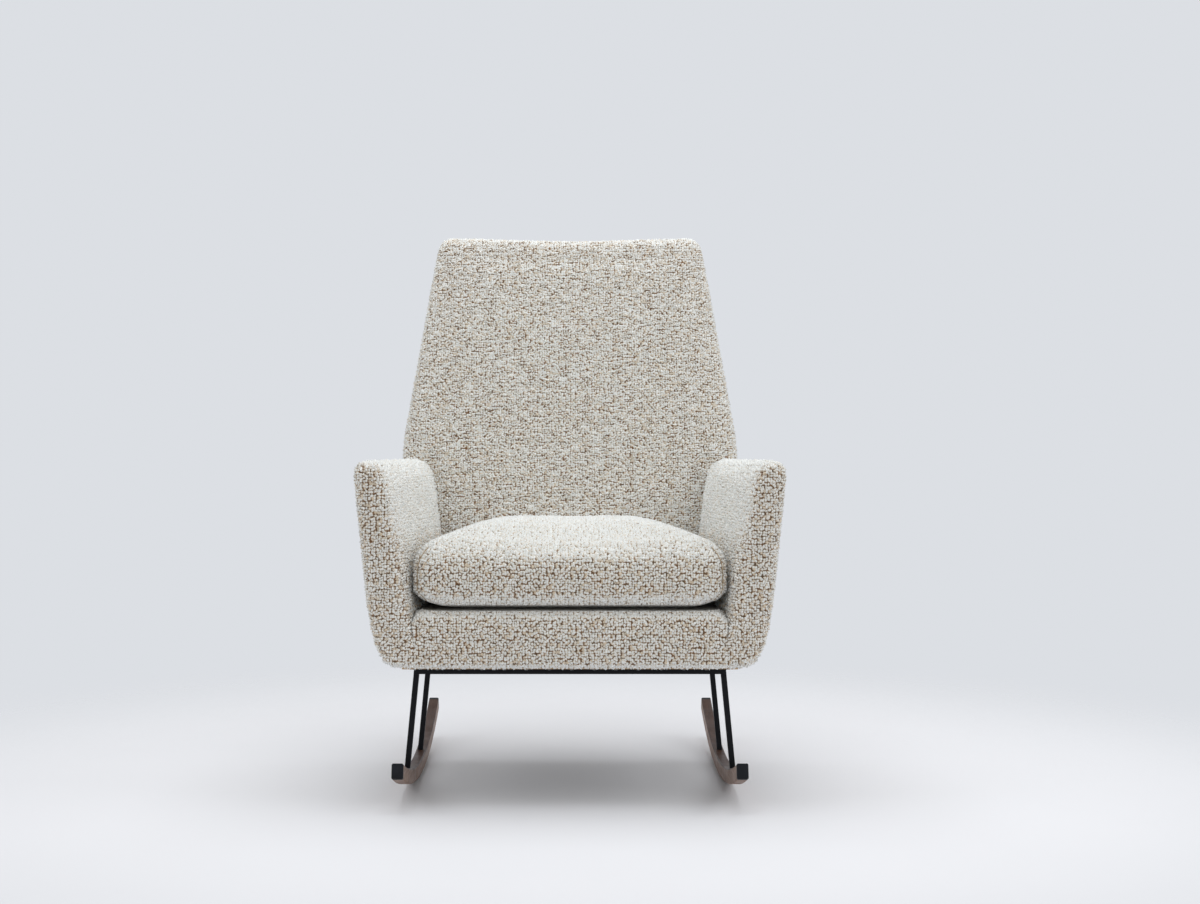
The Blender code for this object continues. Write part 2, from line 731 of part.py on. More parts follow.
def arm_profile():
    """(depth, height) round the arm: underside, full outer side, rounded top, inner face."""
    points = [(0.0, UNDERSIDE)]
    belly = (ARM_BOTTOM_FLAT, UNDERSIDE + ARM_BELLY_RISE)
    reach = (ARM_BELLY - ARM_BOTTOM_FLAT, ARM_BELLY_RISE)
    points += ellipse(belly, reach, -90, 0, ARM_ARC_STEPS, ARM_BELLY_POWER)
    radius = ARM_TOP_OUTER_RADIUS
    outer = (ARM_TOP_THICK - radius, ARM_TOP - radius)
    points += ellipse(outer, (radius, radius), 0, 90, ARM_ARC_STEPS)
    inner = (ARM_TOP_INNER_WIDTH, ARM_TOP - ARM_TOP_INNER_DROP)
    points += ellipse(inner, (ARM_TOP_INNER_WIDTH, ARM_TOP_INNER_DROP), 90, 180, ARM_ARC_STEPS)
    points += [(0.0, z) for z in (ARM_JOINT_HIGH, (ARM_JOINT_HIGH + ARM_JOINT_LOW) / 2, ARM_JOINT_LOW)]
    return points


def towards_spine(depth, z, distance):
    """Move a point of the arm's profile towards the line up the middle of the arm."""
    point = Vector((depth, z))
    low = Vector((ARM_BELLY / 2, UNDERSIDE + ARM_BELLY / 2))
    high = Vector((ARM_TOP_THICK / 2, ARM_TOP - ARM_TOP_THICK / 2))
    share = (point - low).dot(high - low) / (high - low).length_squared
    nearest = low + (high - low) * min(max(share, 0.0), 1.0)
    return point + (nearest - point).normalized() * distance


def rounded_front(depth, z, distance):
    """Draw a point of the arm's profile in for its round front, but not where the apron stands against it."""
    moved = towards_spine(depth, z, distance)
    if depth > 0.0:
        return moved
    share = (z - ARM_JOINT_LOW) / (ARM_JOINT_HIGH - ARM_JOINT_LOW)
    return Vector((moved.x * min(max(share, 0.0), 1.0), moved.y))


def make_arm_pad(name, side, materials, root):
    """The upholstered arm, hollow for its board and cut away beside the seat rail."""
    rings = []
    for inset, rise in quarter(ARM_FRONT_STEPS):
        ring = []
        for depth, z in arm_profile():
            depth, z = rounded_front(depth, z, inset * ARM_FRONT_RADIUS)
            ring.append(arm_point(side, rise * ARM_FRONT_RADIUS, z, depth))
        rings.append(ring)
    rings.append([arm_point(side, back_y(z, -FIT_GAP), z, depth) for depth, z in arm_profile()])
    pad = place(f"{name}_arm_pad", loft(rings), materials["fabric"], root)
    below = UNDERSIDE - ARM_INNER_PAD
    past = back_y(ARM_TOP)

    def corner(depth, y, z):
        return arm_point(side, y, z, depth)

    slot = (ARM_INNER_PAD - FIT_GAP, ARM_INNER_PAD + ARM_BOARD_THICK + FIT_GAP)
    slot_top = ARM_TOP - ARM_BOARD_BELOW_TOP + FIT_GAP
    rail_space = (-ARM_INNER_PAD, slot[1] - FIT_GAP)
    for label, depths, start, top in (
        ("board slot", slot, ARM_BOARD_FRONT - FIT_GAP, slot_top),
        ("rail space", rail_space, FRONT_RAIL_Y - FIT_GAP, SEAT_RAIL_TOP + FIT_GAP),
    ):
        cutter = block(corner, depths, (start, past), (below, top))
        subtract(pad, place(f"{name} {label}", cutter, materials["fabric"], root, hidden=True))


def make_arm_board(name, side, materials, root):
    top = ARM_TOP - ARM_BOARD_BELOW_TOP

    def corner(depth, end, z):
        y = back_y(z, -FIT_GAP) if end else ARM_BOARD_FRONT
        return arm_point(side, y, z, depth)

    depths = (ARM_INNER_PAD, ARM_INNER_PAD + ARM_BOARD_THICK)
    builder = block(corner, depths, (0, 1), (UNDERSIDE + FIT_GAP, top))
    board = place(f"{name}_arm_board", builder, materials["timber"], root)
    radius = BOLT_RADIUS + BOLT_PLAY
    for y in (ARM_BOLT_FRONT, ARM_BOLT_REAR):
        start, axis = arm_bolt_axis(side, y)
        profile = [(radius, 0), (radius, SEAT_RAIL_THICK + ARM_BOLT_INTO_BOARD + BOLT_PLAY)]
        drill(board, start, axis, profile, materials["timber"], root)


def arm_bolt_axis(side, y):
    start = arm_point(side, y, UNDERSIDE + ARM_BOLT_RISE, ARM_INNER_PAD - FIT_GAP - SEAT_RAIL_THICK)
    return start, arm_normal(side)


def make_arm_bolt(name, side, y, materials, root):
    start, axis = arm_bolt_axis(side, y)
    place(name, headed_bolt(start, axis, SEAT_RAIL_THICK + ARM_BOLT_INTO_BOARD), materials["bolt"], root)


# Back


def back_outline(inset):
    """(x, z) round the back: narrow foot, widest at the arms, tapered to rounded top corners."""
    right = [
        (BACK_BOTTOM_HALF, UNDERSIDE, BACK_BOTTOM_RADIUS),
        (BACK_WIDEST_HALF, BACK_WIDEST_Z, BACK_WIDEST_RADIUS),
        (BACK_TOP_HALF, BACK_TOP, BACK_TOP_RADIUS),
    ]
    left = [(-x, z, radius) for x, z, radius in reversed(right)]
    corners = inset_corners(right + left, inset)
    for i in (1, 4):
        x, z, _ = corners[i]
        corners[i] = (x, z, BACK_WIDEST_RADIUS)
    return round_corners(corners, BACK_CORNER_STEPS)


def back_ring(inset, depth):
    return [back_point(point.x, point.y, depth) for point in back_outline(inset)]


def make_inside_back(materials, root):
    """Front padding of the back, a tray that wraps the frame and is open behind."""
    rings = []
    for step in range(BACK_CROWN_STEPS, -1, -1):
        share = step / BACK_CROWN_STEPS
        inset = BACK_CROWN_START + share * (BACK_CROWN_END - BACK_CROWN_START)
        rings.append(back_ring(inset, -BACK_CROWN * math.sin(math.pi / 2 * share) ** 2))
    for inset, rise in quarter(4):
        rings.append(back_ring(inset * BACK_EDGE_RADIUS, rise * BACK_EDGE_RADIUS))
    rings.append(back_ring(0.0, BACK_PAD_DEPTH))
    rings.append(back_ring(BACK_PAD_WALL, BACK_PAD_DEPTH))
    rings.append(back_ring(BACK_PAD_WALL, BACK_PAD_FACE))
    pad = place("inside_back", loft(rings), materials["fabric"], root)
    half = bottom_rail_half() + FIT_GAP
    below = UNDERSIDE - BACK_PAD_WALL
    cutter = block(back_point_from, (-half, half), (-BACK_PAD_DEPTH, 2 * BACK_PAD_DEPTH),
                   (below, SEAT_RAIL_TOP + FIT_GAP))
    subtract(pad, place("back rail space", cutter, materials["fabric"], root, hidden=True))


def back_point_from(x, depth, z):
    return back_point(x, z, depth)


def make_outside_back(materials, root):
    start = BACK_PAD_DEPTH + FIT_GAP
    end = start + OUTSIDE_BACK_THICK
    rings = [back_ring(0.0, start)]
    for inset, rise in reversed(quarter(3)):
        rings.append(back_ring(inset * OUTSIDE_BACK_RADIUS, end - rise * OUTSIDE_BACK_RADIUS))
    place("outside_back", loft(rings), materials["fabric"], root)


def stile_outer(z):
    share = (z - STILE_BOTTOM) / (STILE_TOP - STILE_BOTTOM)
    return STILE_BOTTOM_OUTER + share * (STILE_TOP_OUTER - STILE_BOTTOM_OUTER)


def stile_inner(z):
    return stile_outer(z) - STILE_WIDTH


def bottom_rail_half():
    return stile_inner(SEAT_RAIL_TOP) - FIT_GAP


def make_stile(name, side, materials, root):
    def corner(width, depth, z):
        return back_point(side * (stile_inner(z) + width), z, depth)

    depths = (BACK_FRAME_FRONT, BACK_FRAME_REAR)
    builder = block(corner, (0, STILE_WIDTH), depths, (STILE_BOTTOM, STILE_TOP))
    place(f"back_{name}_stile", builder, materials["timber"], root)


def make_back_rail(name, bottom, top, materials, root):
    def corner(side, depth, z):
        return back_point(side * (stile_inner(z) - FIT_GAP), z, depth)

    builder = block(corner, (-1, 1), (BACK_FRAME_FRONT, BACK_FRAME_REAR), (bottom, top))
    place(name, builder, materials["timber"], root)


def make_back_bottom_rail(materials, root):
    """The lowest rail of the back, which meets the seat's rear rail."""
    half = bottom_rail_half()
    heights = (UNDERSIDE + FIT_GAP, SEAT_RAIL_TOP)
    builder = block(back_point_from, (-half, half), (0, BACK_FRAME_REAR), heights)
    rail = place("back_bottom_rail", builder, materials["timber"], root)
    radius = BOLT_RADIUS + BOLT_PLAY
    for side in SIDES.values():
        start, axis = back_bolt_axis(side)
        profile = [(radius, 0), (radius, SEAT_RAIL_THICK + BACK_BOLT_INTO_RAIL + BOLT_PLAY)]
        drill(rail, start, axis, profile, materials["timber"], root)


def back_bolt_axis(side):
    z = UNDERSIDE + SEAT_RAIL_HEIGHT / 2
    normal = Vector((0, math.cos(BACK_RECLINE), -math.sin(BACK_RECLINE)))
    return Vector((side * BACK_BOLT_X, rear_rail_front(z), z)), normal


def make_back_bolt(name, side, materials, root):
    start, axis = back_bolt_axis(side)
    place(name, headed_bolt(start, axis, SEAT_RAIL_THICK + BACK_BOLT_INTO_RAIL), materials["bolt"], root)


def make_back_webbing(materials, root):
    """Straps across the back frame, stitched to thinner upright straps where they cross."""
    depths = (STRAP_FRONT, STRAP_FRONT + STRAP_THICK)
    upright_depths = (STRAP_FRONT + STRAP_THICK / 4, STRAP_FRONT + STRAP_THICK * 3 / 4)
    low = SEAT_RAIL_TOP + STRAP_WIDTH
    high = STILE_TOP - BACK_RAIL_HEIGHT
    pitch = (high - low) / STRAP_ROWS
    webbing = None
    for row in range(STRAP_ROWS):
        bottom = low + pitch * (row + 0.5) - STRAP_WIDTH / 2
        top = bottom + STRAP_WIDTH

        def corner(side, depth, z):
            return back_point(side * stile_outer(z), z, depth)

        strap = block(corner, (-1, 1), depths, (bottom, top))
        if webbing is None:
            webbing = place("back_webbing", strap, materials["strap"], root)
        else:
            unite(webbing, place(f"strap row {row}", strap, materials["strap"], root, hidden=True))
    for column in range(STRAP_COLUMNS):
        middle = STRAP_COLUMN_X * (2 * column - STRAP_COLUMNS + 1)
        edges = (middle - STRAP_WIDTH / 2, middle + STRAP_WIDTH / 2)
        strap = block(back_point_from, edges, upright_depths, (low, high + BACK_RAIL_HEIGHT / 2))
        unite(webbing, place(f"strap column {column}", strap, materials["strap"], root, hidden=True))


# Seat cushion


def cushion_corners(inset, z):
    """Plan of the cushion at a height: wider in front, as the arms toe out, and cut to the back's slope."""
    front = CUSHION_FRONT
    rear = back_y(z) - CUSHION_PLAY - BACK_CROWN
    widest_z = CUSHION_BOTTOM + CUSHION_BOTTOM_ROUND
    front_half = arm_point(1, front, widest_z, 0.0).x - CUSHION_PLAY
    rear_half = arm_point(1, rear, widest_z, 0.0).x - CUSHION_PLAY
    radius = CUSHION_CORNER_RADIUS
    corners = [
        (-front_half, front, radius),
        (front_half, front, radius),
        (rear_half, rear, radius),
        (-rear_half, rear, radius),
    ]
    return inset_corners(corners, inset, radius / 4), (front + rear) / 2, (rear - front) / 2, front_half


def cushion_ring(inset, z):
    corners, middle, half_depth, half_width = cushion_corners(inset, z)
    ring = []
    for point in round_corners(corners, CUSHION_CORNER_STEPS):
        along = (point.y - middle) / half_depth
        across = point.x / half_width
        draw_x = CUSHION_DRAW_IN * (1 - along**2) * across
        draw_y = CUSHION_DRAW_IN * (1 - across**2) * along
        ring.append(Vector((point.x - draw_x, point.y - draw_y, z)))
    return ring


def make_seat_cushion(materials, root):
    """A loose cushion with rounded edges, drawn-in sides and a crowned top."""
    top = CUSHION_BOTTOM + CUSHION_HEIGHT
    shoulder = top - CUSHION_CROWN
    rings = []
    for inset, rise in quarter(CUSHION_ROUND_STEPS):
        height = CUSHION_BOTTOM + rise * CUSHION_BOTTOM_ROUND
        rings.append(cushion_ring(inset * CUSHION_BOTTOM_ROUND, height))
    for inset, rise in reversed(quarter(CUSHION_ROUND_STEPS)):
        rings.append(cushion_ring(inset * CUSHION_TOP_ROUND, shoulder - rise * CUSHION_TOP_ROUND))
    for step in range(1, CUSHION_CROWN_STEPS + 1):
        share = (step / CUSHION_CROWN_STEPS) ** 1.5
        inset = CUSHION_TOP_ROUND + share * (CUSHION_CROWN_INSET - CUSHION_TOP_ROUND)
        rings.append([crowned(point) for point in cushion_ring(inset, shoulder)])
    place("seat_cushion", loft(rings), materials["fabric"], root)


def crowned(point):
    """Raise a point of the cushion's top to its crown, highest in the middle and level at the edge."""
    corners, middle, half_depth, half_width = cushion_corners(0.0, point.z)
    across = min(abs(point.x) / (half_width - CUSHION_TOP_ROUND), 1.0)
    along = min(abs(point.y - middle) / (half_depth - CUSHION_TOP_ROUND), 1.0)
    rise = CUSHION_CROWN * (1 - across**CUSHION_CROWN_POWER) * (1 - along**CUSHION_CROWN_POWER)
    return Vector((point.x, point.y, point.z + rise))


# The whole chair


def make_base(materials, root):
    for name, side in SIDES.items():
        make_rocker(name, side, materials, root)
        make_base_side_rail(f"base_{name}_rail", side, materials, root)
        for label, end in (("front", -1), ("rear", 1)):
            make_rocker_cap(f"{name}_rocker_{label}_cap", side, end, materials, root)
        for label, y in (("front", FRONT_LEG_Y), ("rear", REAR_LEG_Y)):
            make_leg(f"{label}_{name}_leg", side, y, materials, root)
            make_rocker_screw(f"{label}_{name}_rocker_screw", side, y, materials, root)
        for label, y in tab_places().items():
            make_mount_tab(f"{label}_{name}_mount_tab", side, y, materials, root)
            make_base_bolt(f"{label}_{name}_base_bolt", side, y, materials, root)
    make_cross_rail("base_front_rail", FRONT_LEG_Y, materials, root)
    make_cross_rail("base_rear_rail", REAR_LEG_Y, materials, root)


def make_seat(materials, root):
    make_seat_cross_rails(materials, root)
    for name, side in SIDES.items():
        make_seat_side_rail(name, side, materials, root)
        make_corner_block(f"front_{name}_corner_block", side, True, materials, root)
        make_corner_block(f"rear_{name}_corner_block", side, False, materials, root)
    for i in range(SPRING_COUNT):
        make_spring(f"seat_spring_{i + 1}", SPRING_SPACING * (i - (SPRING_COUNT - 1) / 2), materials, root)
    make_deck_pad(materials, root)
    make_dust_cover(materials, root)
    make_front_apron(materials, root)


def make_arms(materials, root):
    for name, side in SIDES.items():
        make_arm_pad(name, side, materials, root)
        make_arm_board(name, side, materials, root)
        make_arm_bolt(f"{name}_arm_front_bolt", side, ARM_BOLT_FRONT, materials, root)
        make_arm_bolt(f"{name}_arm_rear_bolt", side, ARM_BOLT_REAR, materials, root)


def make_back(materials, root):
    make_inside_back(materials, root)
    make_outside_back(materials, root)
    make_back_webbing(materials, root)
    make_back_rail("back_top_rail", STILE_TOP - BACK_RAIL_HEIGHT, STILE_TOP, materials, root)
    make_back_rail("back_lumbar_rail", LUMBAR_RAIL_Z, LUMBAR_RAIL_Z + BACK_RAIL_HEIGHT, materials, root)
    make_back_bottom_rail(materials, root)
    for name, side in SIDES.items():
        make_stile(name, side, materials, root)
        make_back_bolt(f"back_{name}_bolt", side, materials, root)


def centre_on_floor(root):
    """Move the chair so that its origin is under the middle of its length."""
    bpy.context.view_layer.update()
    graph = bpy.context.evaluated_depsgraph_get()
    reach = []
    for obj in root.children:
        if obj.type == "MESH" and not obj.hide_render:
            solid = obj.evaluated_get(graph)
            reach += [(solid.matrix_world @ Vector(corner)).y for corner in solid.bound_box]
    root.location.y = -(min(reach) + max(reach)) / 2


def main():
    for obj in list(bpy.data.objects):
        bpy.data.objects.remove(obj)
    root = bpy.data.objects.new("rocking_chair", None)
    bpy.context.collection.objects.link(root)
    materials = make_materials()
    make_base(materials, root)
    make_seat(materials, root)
    make_arms(materials, root)
    make_back(materials, root)
    make_seat_cushion(materials, root)
    centre_on_floor(root)


if __name__ == "__main__":
    main()
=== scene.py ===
import math

import bmesh
import bpy
import numpy as np
from mathutils import Matrix, Vector
from mathutils.bvhtree import BVHTree
from mathutils.kdtree import KDTree


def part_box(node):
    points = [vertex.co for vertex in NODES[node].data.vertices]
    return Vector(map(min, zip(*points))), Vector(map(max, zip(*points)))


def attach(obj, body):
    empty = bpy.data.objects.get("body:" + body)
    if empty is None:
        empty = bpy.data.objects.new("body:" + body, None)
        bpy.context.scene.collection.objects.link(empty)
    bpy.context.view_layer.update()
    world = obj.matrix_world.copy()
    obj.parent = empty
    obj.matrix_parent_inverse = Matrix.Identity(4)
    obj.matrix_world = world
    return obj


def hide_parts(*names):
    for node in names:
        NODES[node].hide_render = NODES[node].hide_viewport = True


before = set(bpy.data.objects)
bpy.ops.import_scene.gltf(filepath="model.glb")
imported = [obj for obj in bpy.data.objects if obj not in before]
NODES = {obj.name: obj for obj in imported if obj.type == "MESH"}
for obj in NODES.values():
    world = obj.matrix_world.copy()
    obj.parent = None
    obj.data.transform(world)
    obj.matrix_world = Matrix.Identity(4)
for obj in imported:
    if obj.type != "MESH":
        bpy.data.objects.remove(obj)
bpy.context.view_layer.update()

bl_info = {
    "name": "Upholstered Rocking Chair",
    "version": (1, 0, 0),
    "blender": (4, 5, 0),
    "location": "3D View > Sidebar > Rocking Chair",
    "description": "Dresses the frame of an upholstered rocking chair with padding, cloth and finishes",
    "category": "Object",
}

SIDES = {"left": -1, "right": 1}
TOUCHING = 0.007  # a point of a pad this close to another piece stays where it is
FILL_STEPS = 20  # steps of the simulation that fills a pad
FLOOR_GAP = 0.0004  # the floor lies this far under the rockers, so that no faces meet


# Sizes and colours that a user would change


def number(name, description, default, **settings):
    return bpy.props.FloatProperty(name=name, description=description, default=default, **settings)


def factor(name, description, default):
    return number(name, description, default, soft_min=-1.0, soft_max=1.0, subtype="FACTOR")


def length(name, description, default):
    return number(name, description, default, min=0.0, precision=4, unit="LENGTH")


def power(name, description, default):
    return number(name, description, default, min=0.0, unit="POWER")


def colour(name, description, default):
    return bpy.props.FloatVectorProperty(
        name=name, description=description, default=default, min=0.0, max=1.0, size=3, subtype="COLOR"
    )


class ClothSizes(bpy.types.PropertyGroup):
    """The looped cloth of the seat, the arms and the back"""

    loop_pitch: length("Loop pitch", "Distance from one loop of the cloth to the next", 0.0046)
    loop_height: length("Loop height", "How far a loop stands over the ground of the cloth", 0.0038)
    lowest_share: factor("Lowest share", "Share of the loop height that the lowest loops have", 0.4)
    row_contrast: factor("Row contrast", "How much the gaps between loops differ from row to row", 0.1)
    back_row_contrast: factor("Back row contrast", "The same on the back, where rows of loops show", 1.0)
    loop_colour: colour("Loop colour", "Colour of the cream loops", (0.94, 0.95, 0.94))
    # Painted shade: the flank colour is the cream of a loop, darkened for the shade on the loop's sides.
    flank_shade_colour: colour("Flank colour", "Colour of the sides of a loop", (0.79, 0.745, 0.65))
    fleck_colour: colour("Fleck colour", "Colour of the beige loops among the cream ones", (0.74, 0.60, 0.44))
    # Partly painted shade: this is the cloth's own brown between the loops, painted dark for the shade in the
    # holes between them.
    ground_and_shade_colour: colour("Ground colour", "Colour of the cloth between the loops", (0.100, 0.066, 0.040))
    thread_colour: colour("Thread colour", "Colour of the sewing thread", (0.60, 0.45, 0.29))
    stitch_length: length("Stitch length", "Length of one stitch of a seam", 0.0050)
    stitch_width: length("Stitch width", "Thickness of the sewing thread", 0.0017)


class PaddingSizes(bpy.types.PropertyGroup):
    """How the pads are filled"""

    mesh_size: length("Mesh size", "Size of the faces that the padding is blown up with", 0.008)
    tightening: length("Tightening", "How much smaller a pad starts before it is filled", 0.002)
    pressure: number("Pressure", "Pressure of the filling against its cover", 4.0, min=0.0)
    arm_swell: length("Arm swell", "Most that a point of an arm moves when it is filled", 0.004)
    back_swell: length("Back swell", "Most that a point of the back moves when it is filled", 0.0065)
    cushion_swell: length("Cushion swell", "Most that a point of the cushion moves when it is filled", 0.0025)
    cushion_lift: length("Cushion lift", "How far the cushion's lower edge stands off the deck", 0.009)
    shoulder: length("Shoulder", "How much fuller the cushion's crown is towards its sides", 0.0075)
    crown_lowering: length("Crown lowering", "How far the loops on the cushion's crown are let in", 0.004)
    front_rounding: length("Front rounding", "How far the cushion's front leans back at its top", 0.012)
    front_belly: length("Front belly", "Height at which the cushion's front stands out most", 0.045)
    corner_lift: length("Corner lift", "How much further the cushion's lower front corners are lifted", 0.010)
    lift_width: length("Lift width", "How far in from its edge the cushion rests on the deck", 0.080)
    apron_tuck: length("Apron tuck", "How far the apron's ends are tucked in behind the arms", 0.008)
    back_lowering: length("Back lowering", "How far the loops at the back's top are let in", 0.004)
    back_dip: length("Back dip", "How much lower the back's top is in its middle than at its corners", 0.006)
    corner_radius: length("Corner radius", "Radius of the cushion's upright corners", 0.050)
    seam_start: length("Seam start", "Height at which the cushion's corner seams start", 0.020)
    seam_end: length("Seam end", "Height at which the cushion's corner seams end", 0.108)
    seam_depth: length("Seam depth", "How deep a seam draws the cushion in", 0.003)
    seam_width: length("Seam width", "How far to each side a seam draws the cushion in", 0.004)
    seam_turn: number(
        "Seam turn",
        "Where a seam stands on its corner, from the front towards the side",
        math.radians(59.0),
        subtype="ANGLE",
    )


class LiningSizes(bpy.types.PropertyGroup):
    """The dust cover under the seat and the straps inside the back"""

    cover_inset: length("Cover inset", "How far the dust cover is set back from the seat's edge", 0.012)
    cover_thickness: length("Cover thickness", "Thickness of the dust cover's cloth", 0.0008)
    cover_sag: length("Cover sag", "How far the dust cover hangs down between the rails of the base", 0.004)
    staple_length: length("Staple length", "Length of a staple's bridge", 0.010)
    staple_width: length("Staple width", "Thickness of a staple's wire", 0.0012)
    staple_spacing: length("Staple spacing", "Distance from one staple to the next", 0.040)
    staple_inset: length("Staple inset", "How far in from the dust cover's edge the staples are", 0.008)
    strap_thickness: length("Strap thickness", "Thickness of the straps inside the back", 0.0006)
    strap_wave: length("Strap wave", "How far a strap gives way where another crosses it", 0.00035)


class FrameFinishes(bpy.types.PropertyGroup):
    """Finishes of the rockers, the base and the hidden frame"""

    rocker_light: colour("Rocker light", "Light grain of the rockers", (0.310, 0.208, 0.165))
    rocker_dark: colour("Rocker dark", "Dark grain of the rockers", (0.165, 0.104, 0.080))
    # Painted shade: this is not a stain; the rockers' upper faces get this darker colour for the shade they
    # lie in under the seat.
    rocker_top_shade: colour("Rocker top", "Deeper stain on the rockers' upper faces", (0.080, 0.041, 0.028))
    timber_light: colour("Timber light", "Light grain of the hidden timber", (0.60, 0.44, 0.28))
    timber_dark: colour("Timber dark", "Dark grain of the hidden timber", (0.42, 0.28, 0.16))
    steel_paint: colour("Steel paint", "Powder paint of the base", (0.0036, 0.0042, 0.0062))
    cap_black: colour("Cap black", "Moulded caps on the rocker tips", (0.0040, 0.0048, 0.0075))


class StageSizes(bpy.types.PropertyGroup):
    """Camera, floor and light"""

    lens: number("Lens", "Focal length in millimetres", 50.0, min=1.0, unit="CAMERA")
    camera_distance: length("Camera distance", "From the middle of the rockers to the camera", 3.215)
    camera_height: length("Camera height", "Height of the camera over the floor", 0.6154)
    camera_shift: factor("Camera shift", "Sideways shift of the picture, in picture widths", 0.025)
    floor_colour: colour("Floor colour", "Pale studio floor", (0.812, 0.812, 0.850))
    wall_colour: colour("Wall colour", "Pale studio wall behind the chair", (0.715, 0.738, 0.775))
    light_colour: colour("Light colour", "Colour of the even light all round", (0.985, 0.99, 0.965))
    light_strength: factor("Light strength", "Strength of the even light all round", 0.59)
    overhead_tint: colour("Overhead tint", "Colour of the lamp above", (0.94, 0.975, 1.0))
    overhead_power: power("Overhead power", "Power of the lamp above", 34.0)
    left_power: power("Left power", "Power of the lamp on the left", 9.0)
    right_power: power("Right power", "Power of the lamp on the right", 14.0)
    front_power: power("Front power", "Power of the lamp in front", 9.0)


# Helpers for node trees


def set_inputs(tree, node, inputs):
    """Give each input its plain value, or link it to the socket that feeds it."""
    for name, value in inputs.items():
        socket = node.inputs[name]
        if isinstance(value, bpy.types.NodeSocket):
            tree.links.new(value, socket)
        elif socket.type == "RGBA":
            socket.default_value = (*value[:3], 1.0)
        else:
            socket.default_value = value


def new_node(tree, kind, inputs=None, **settings):
    made = tree.nodes.new(kind)
    for name, value in settings.items():
        setattr(made, name, value)
    set_inputs(tree, made, inputs or {})
    return made


def calculate(tree, operation, first, second=0.0, third=0.0):
    inputs = {0: first, 1: second, 2: third}
    return new_node(tree, "ShaderNodeMath", inputs, operation=operation).outputs[0]


def calculate_vector(tree, operation, inputs):
    return new_node(tree, "ShaderNodeVectorMath", inputs, operation=operation).outputs


def ramp(tree, value, low, high, to_low=0.0, to_high=1.0, smooth=True):
    inputs = {"Value": value, "From Min": low, "From Max": high, "To Min": to_low, "To Max": to_high}
    kind = "SMOOTHSTEP" if smooth else "LINEAR"
    return new_node(tree, "ShaderNodeMapRange", inputs, interpolation_type=kind).outputs["Result"]


def mix_colours(tree, share, first, second):
    inputs = {0: share, 6: first, 7: second}
    return new_node(tree, "ShaderNodeMix", inputs, data_type="RGBA").outputs[2]


def stretched(tree, vector, scale):
    return new_node(tree, "ShaderNodeMapping", {"Vector": vector, "Scale": scale}).outputs["Vector"]


def noise(tree, vector, scale, detail=2.0, roughness=0.5, distortion=0.0):
    inputs = {
        "Vector": vector,
        "Scale": scale,
        "Detail": detail,
        "Roughness": roughness,
        "Distortion": distortion,
    }
    return new_node(tree, "ShaderNodeTexNoise", inputs).outputs["Fac"]


def flat_noise(tree, vector, scale):
    inputs = {"Vector": vector, "Scale": scale}
    return new_node(tree, "ShaderNodeTexNoise", inputs, noise_dimensions="2D").outputs


def object_place(tree):
    return new_node(tree, "ShaderNodeTexCoord").outputs["Object"]


def new_group(name, kind, inputs, outputs):
    """A node group; inputs and outputs give each socket's name and kind."""
    tree = bpy.data.node_groups.new(name, kind)
    for way, sockets in (("INPUT", inputs), ("OUTPUT", outputs)):
        for label, socket in sockets.items():
            tree.interface.new_socket(name=label, in_out=way, socket_type=f"NodeSocket{socket}")
    return tree, new_node(tree, "NodeGroupInput").outputs, new_node(tree, "NodeGroupOutput")


def use_group(tree, name, inputs):
    return new_node(tree, "ShaderNodeGroup", inputs, node_tree=bpy.data.node_groups[name]).outputs


# Effects that several finishes share


def grain_group():
    """Long grain along one axis, as on planed wood."""
    inputs = {"Place": "Vector", "Stretch": "Vector", "Light": "Color", "Dark": "Color"}
    outputs = {"Color": "Color", "Height": "Float"}
    tree, given, result = new_group("Wood grain", "ShaderNodeTree", inputs, outputs)
    drawn = calculate_vector(tree, "MULTIPLY", {0: given["Place"], 1: given["Stretch"]})["Vector"]
    broad = noise(tree, drawn, 1.0, 4.0, 0.55, 0.6)
    fine = noise(tree, drawn, 5.0, 3.0, 0.6, 0.2)
    height = calculate(tree, "MULTIPLY_ADD", fine, 0.45, calculate(tree, "MULTIPLY", broad, 0.55))
    shade = mix_colours(tree, ramp(tree, height, 0.34, 0.66), given["Dark"], given["Light"])
    set_inputs(tree, result, {"Color": shade, "Height": height})


def speckle_group():
    """Fine speckle of paint or moulding, with broad handling marks."""
    inputs = {"Place": "Vector", "Scale": "Float", "Low": "Float", "High": "Float"}
    outputs = {"Gloss": "Float", "Height": "Float", "Marks": "Float"}
    tree, given, result = new_group("Fine speckle", "ShaderNodeTree", inputs, outputs)
    fine = noise(tree, given["Place"], given["Scale"])
    marks = noise(tree, given["Place"], 22.0, 4.0, 0.6)
    spread = calculate(tree, "SUBTRACT", given["High"], given["Low"])
    gloss = calculate(tree, "MULTIPLY_ADD", ramp(tree, marks, 0.3, 0.7), spread, given["Low"])
    set_inputs(tree, result, {"Gloss": gloss, "Height": fine, "Marks": marks})


def weave_group():
    """Plain weave of two crossing sets of threads."""
    inputs = {"Place": "Vector", "Across": "Vector", "Along": "Vector"}
    outputs = {"Thread": "Float", "Height": "Float"}
    tree, given, result = new_group("Plain weave", "ShaderNodeTree", inputs, outputs)
    waves = []
    for direction in ("Across", "Along"):
        turns = calculate_vector(tree, "DOT_PRODUCT", {0: given["Place"], 1: given[direction]})["Value"]
        waves.append(calculate(tree, "SINE", turns))
    over = calculate(tree, "MULTIPLY", *waves)
    height = ramp(tree, over, -1.0, 1.0, smooth=False)
    set_inputs(tree, result, {"Thread": ramp(tree, over, -0.35, 0.35), "Height": height})


# Materials


def node_of(tree, kind):
    return next(node for node in tree.nodes if node.type == kind)


def start_material(name, plain):
    """A material whose shader has these plain values all over, and its node tree."""
    material = bpy.data.materials.new(name)
    material.use_nodes = True
    tree = material.node_tree
    set_inputs(tree, node_of(tree, "BSDF_PRINCIPLED"), plain)
    return material, tree


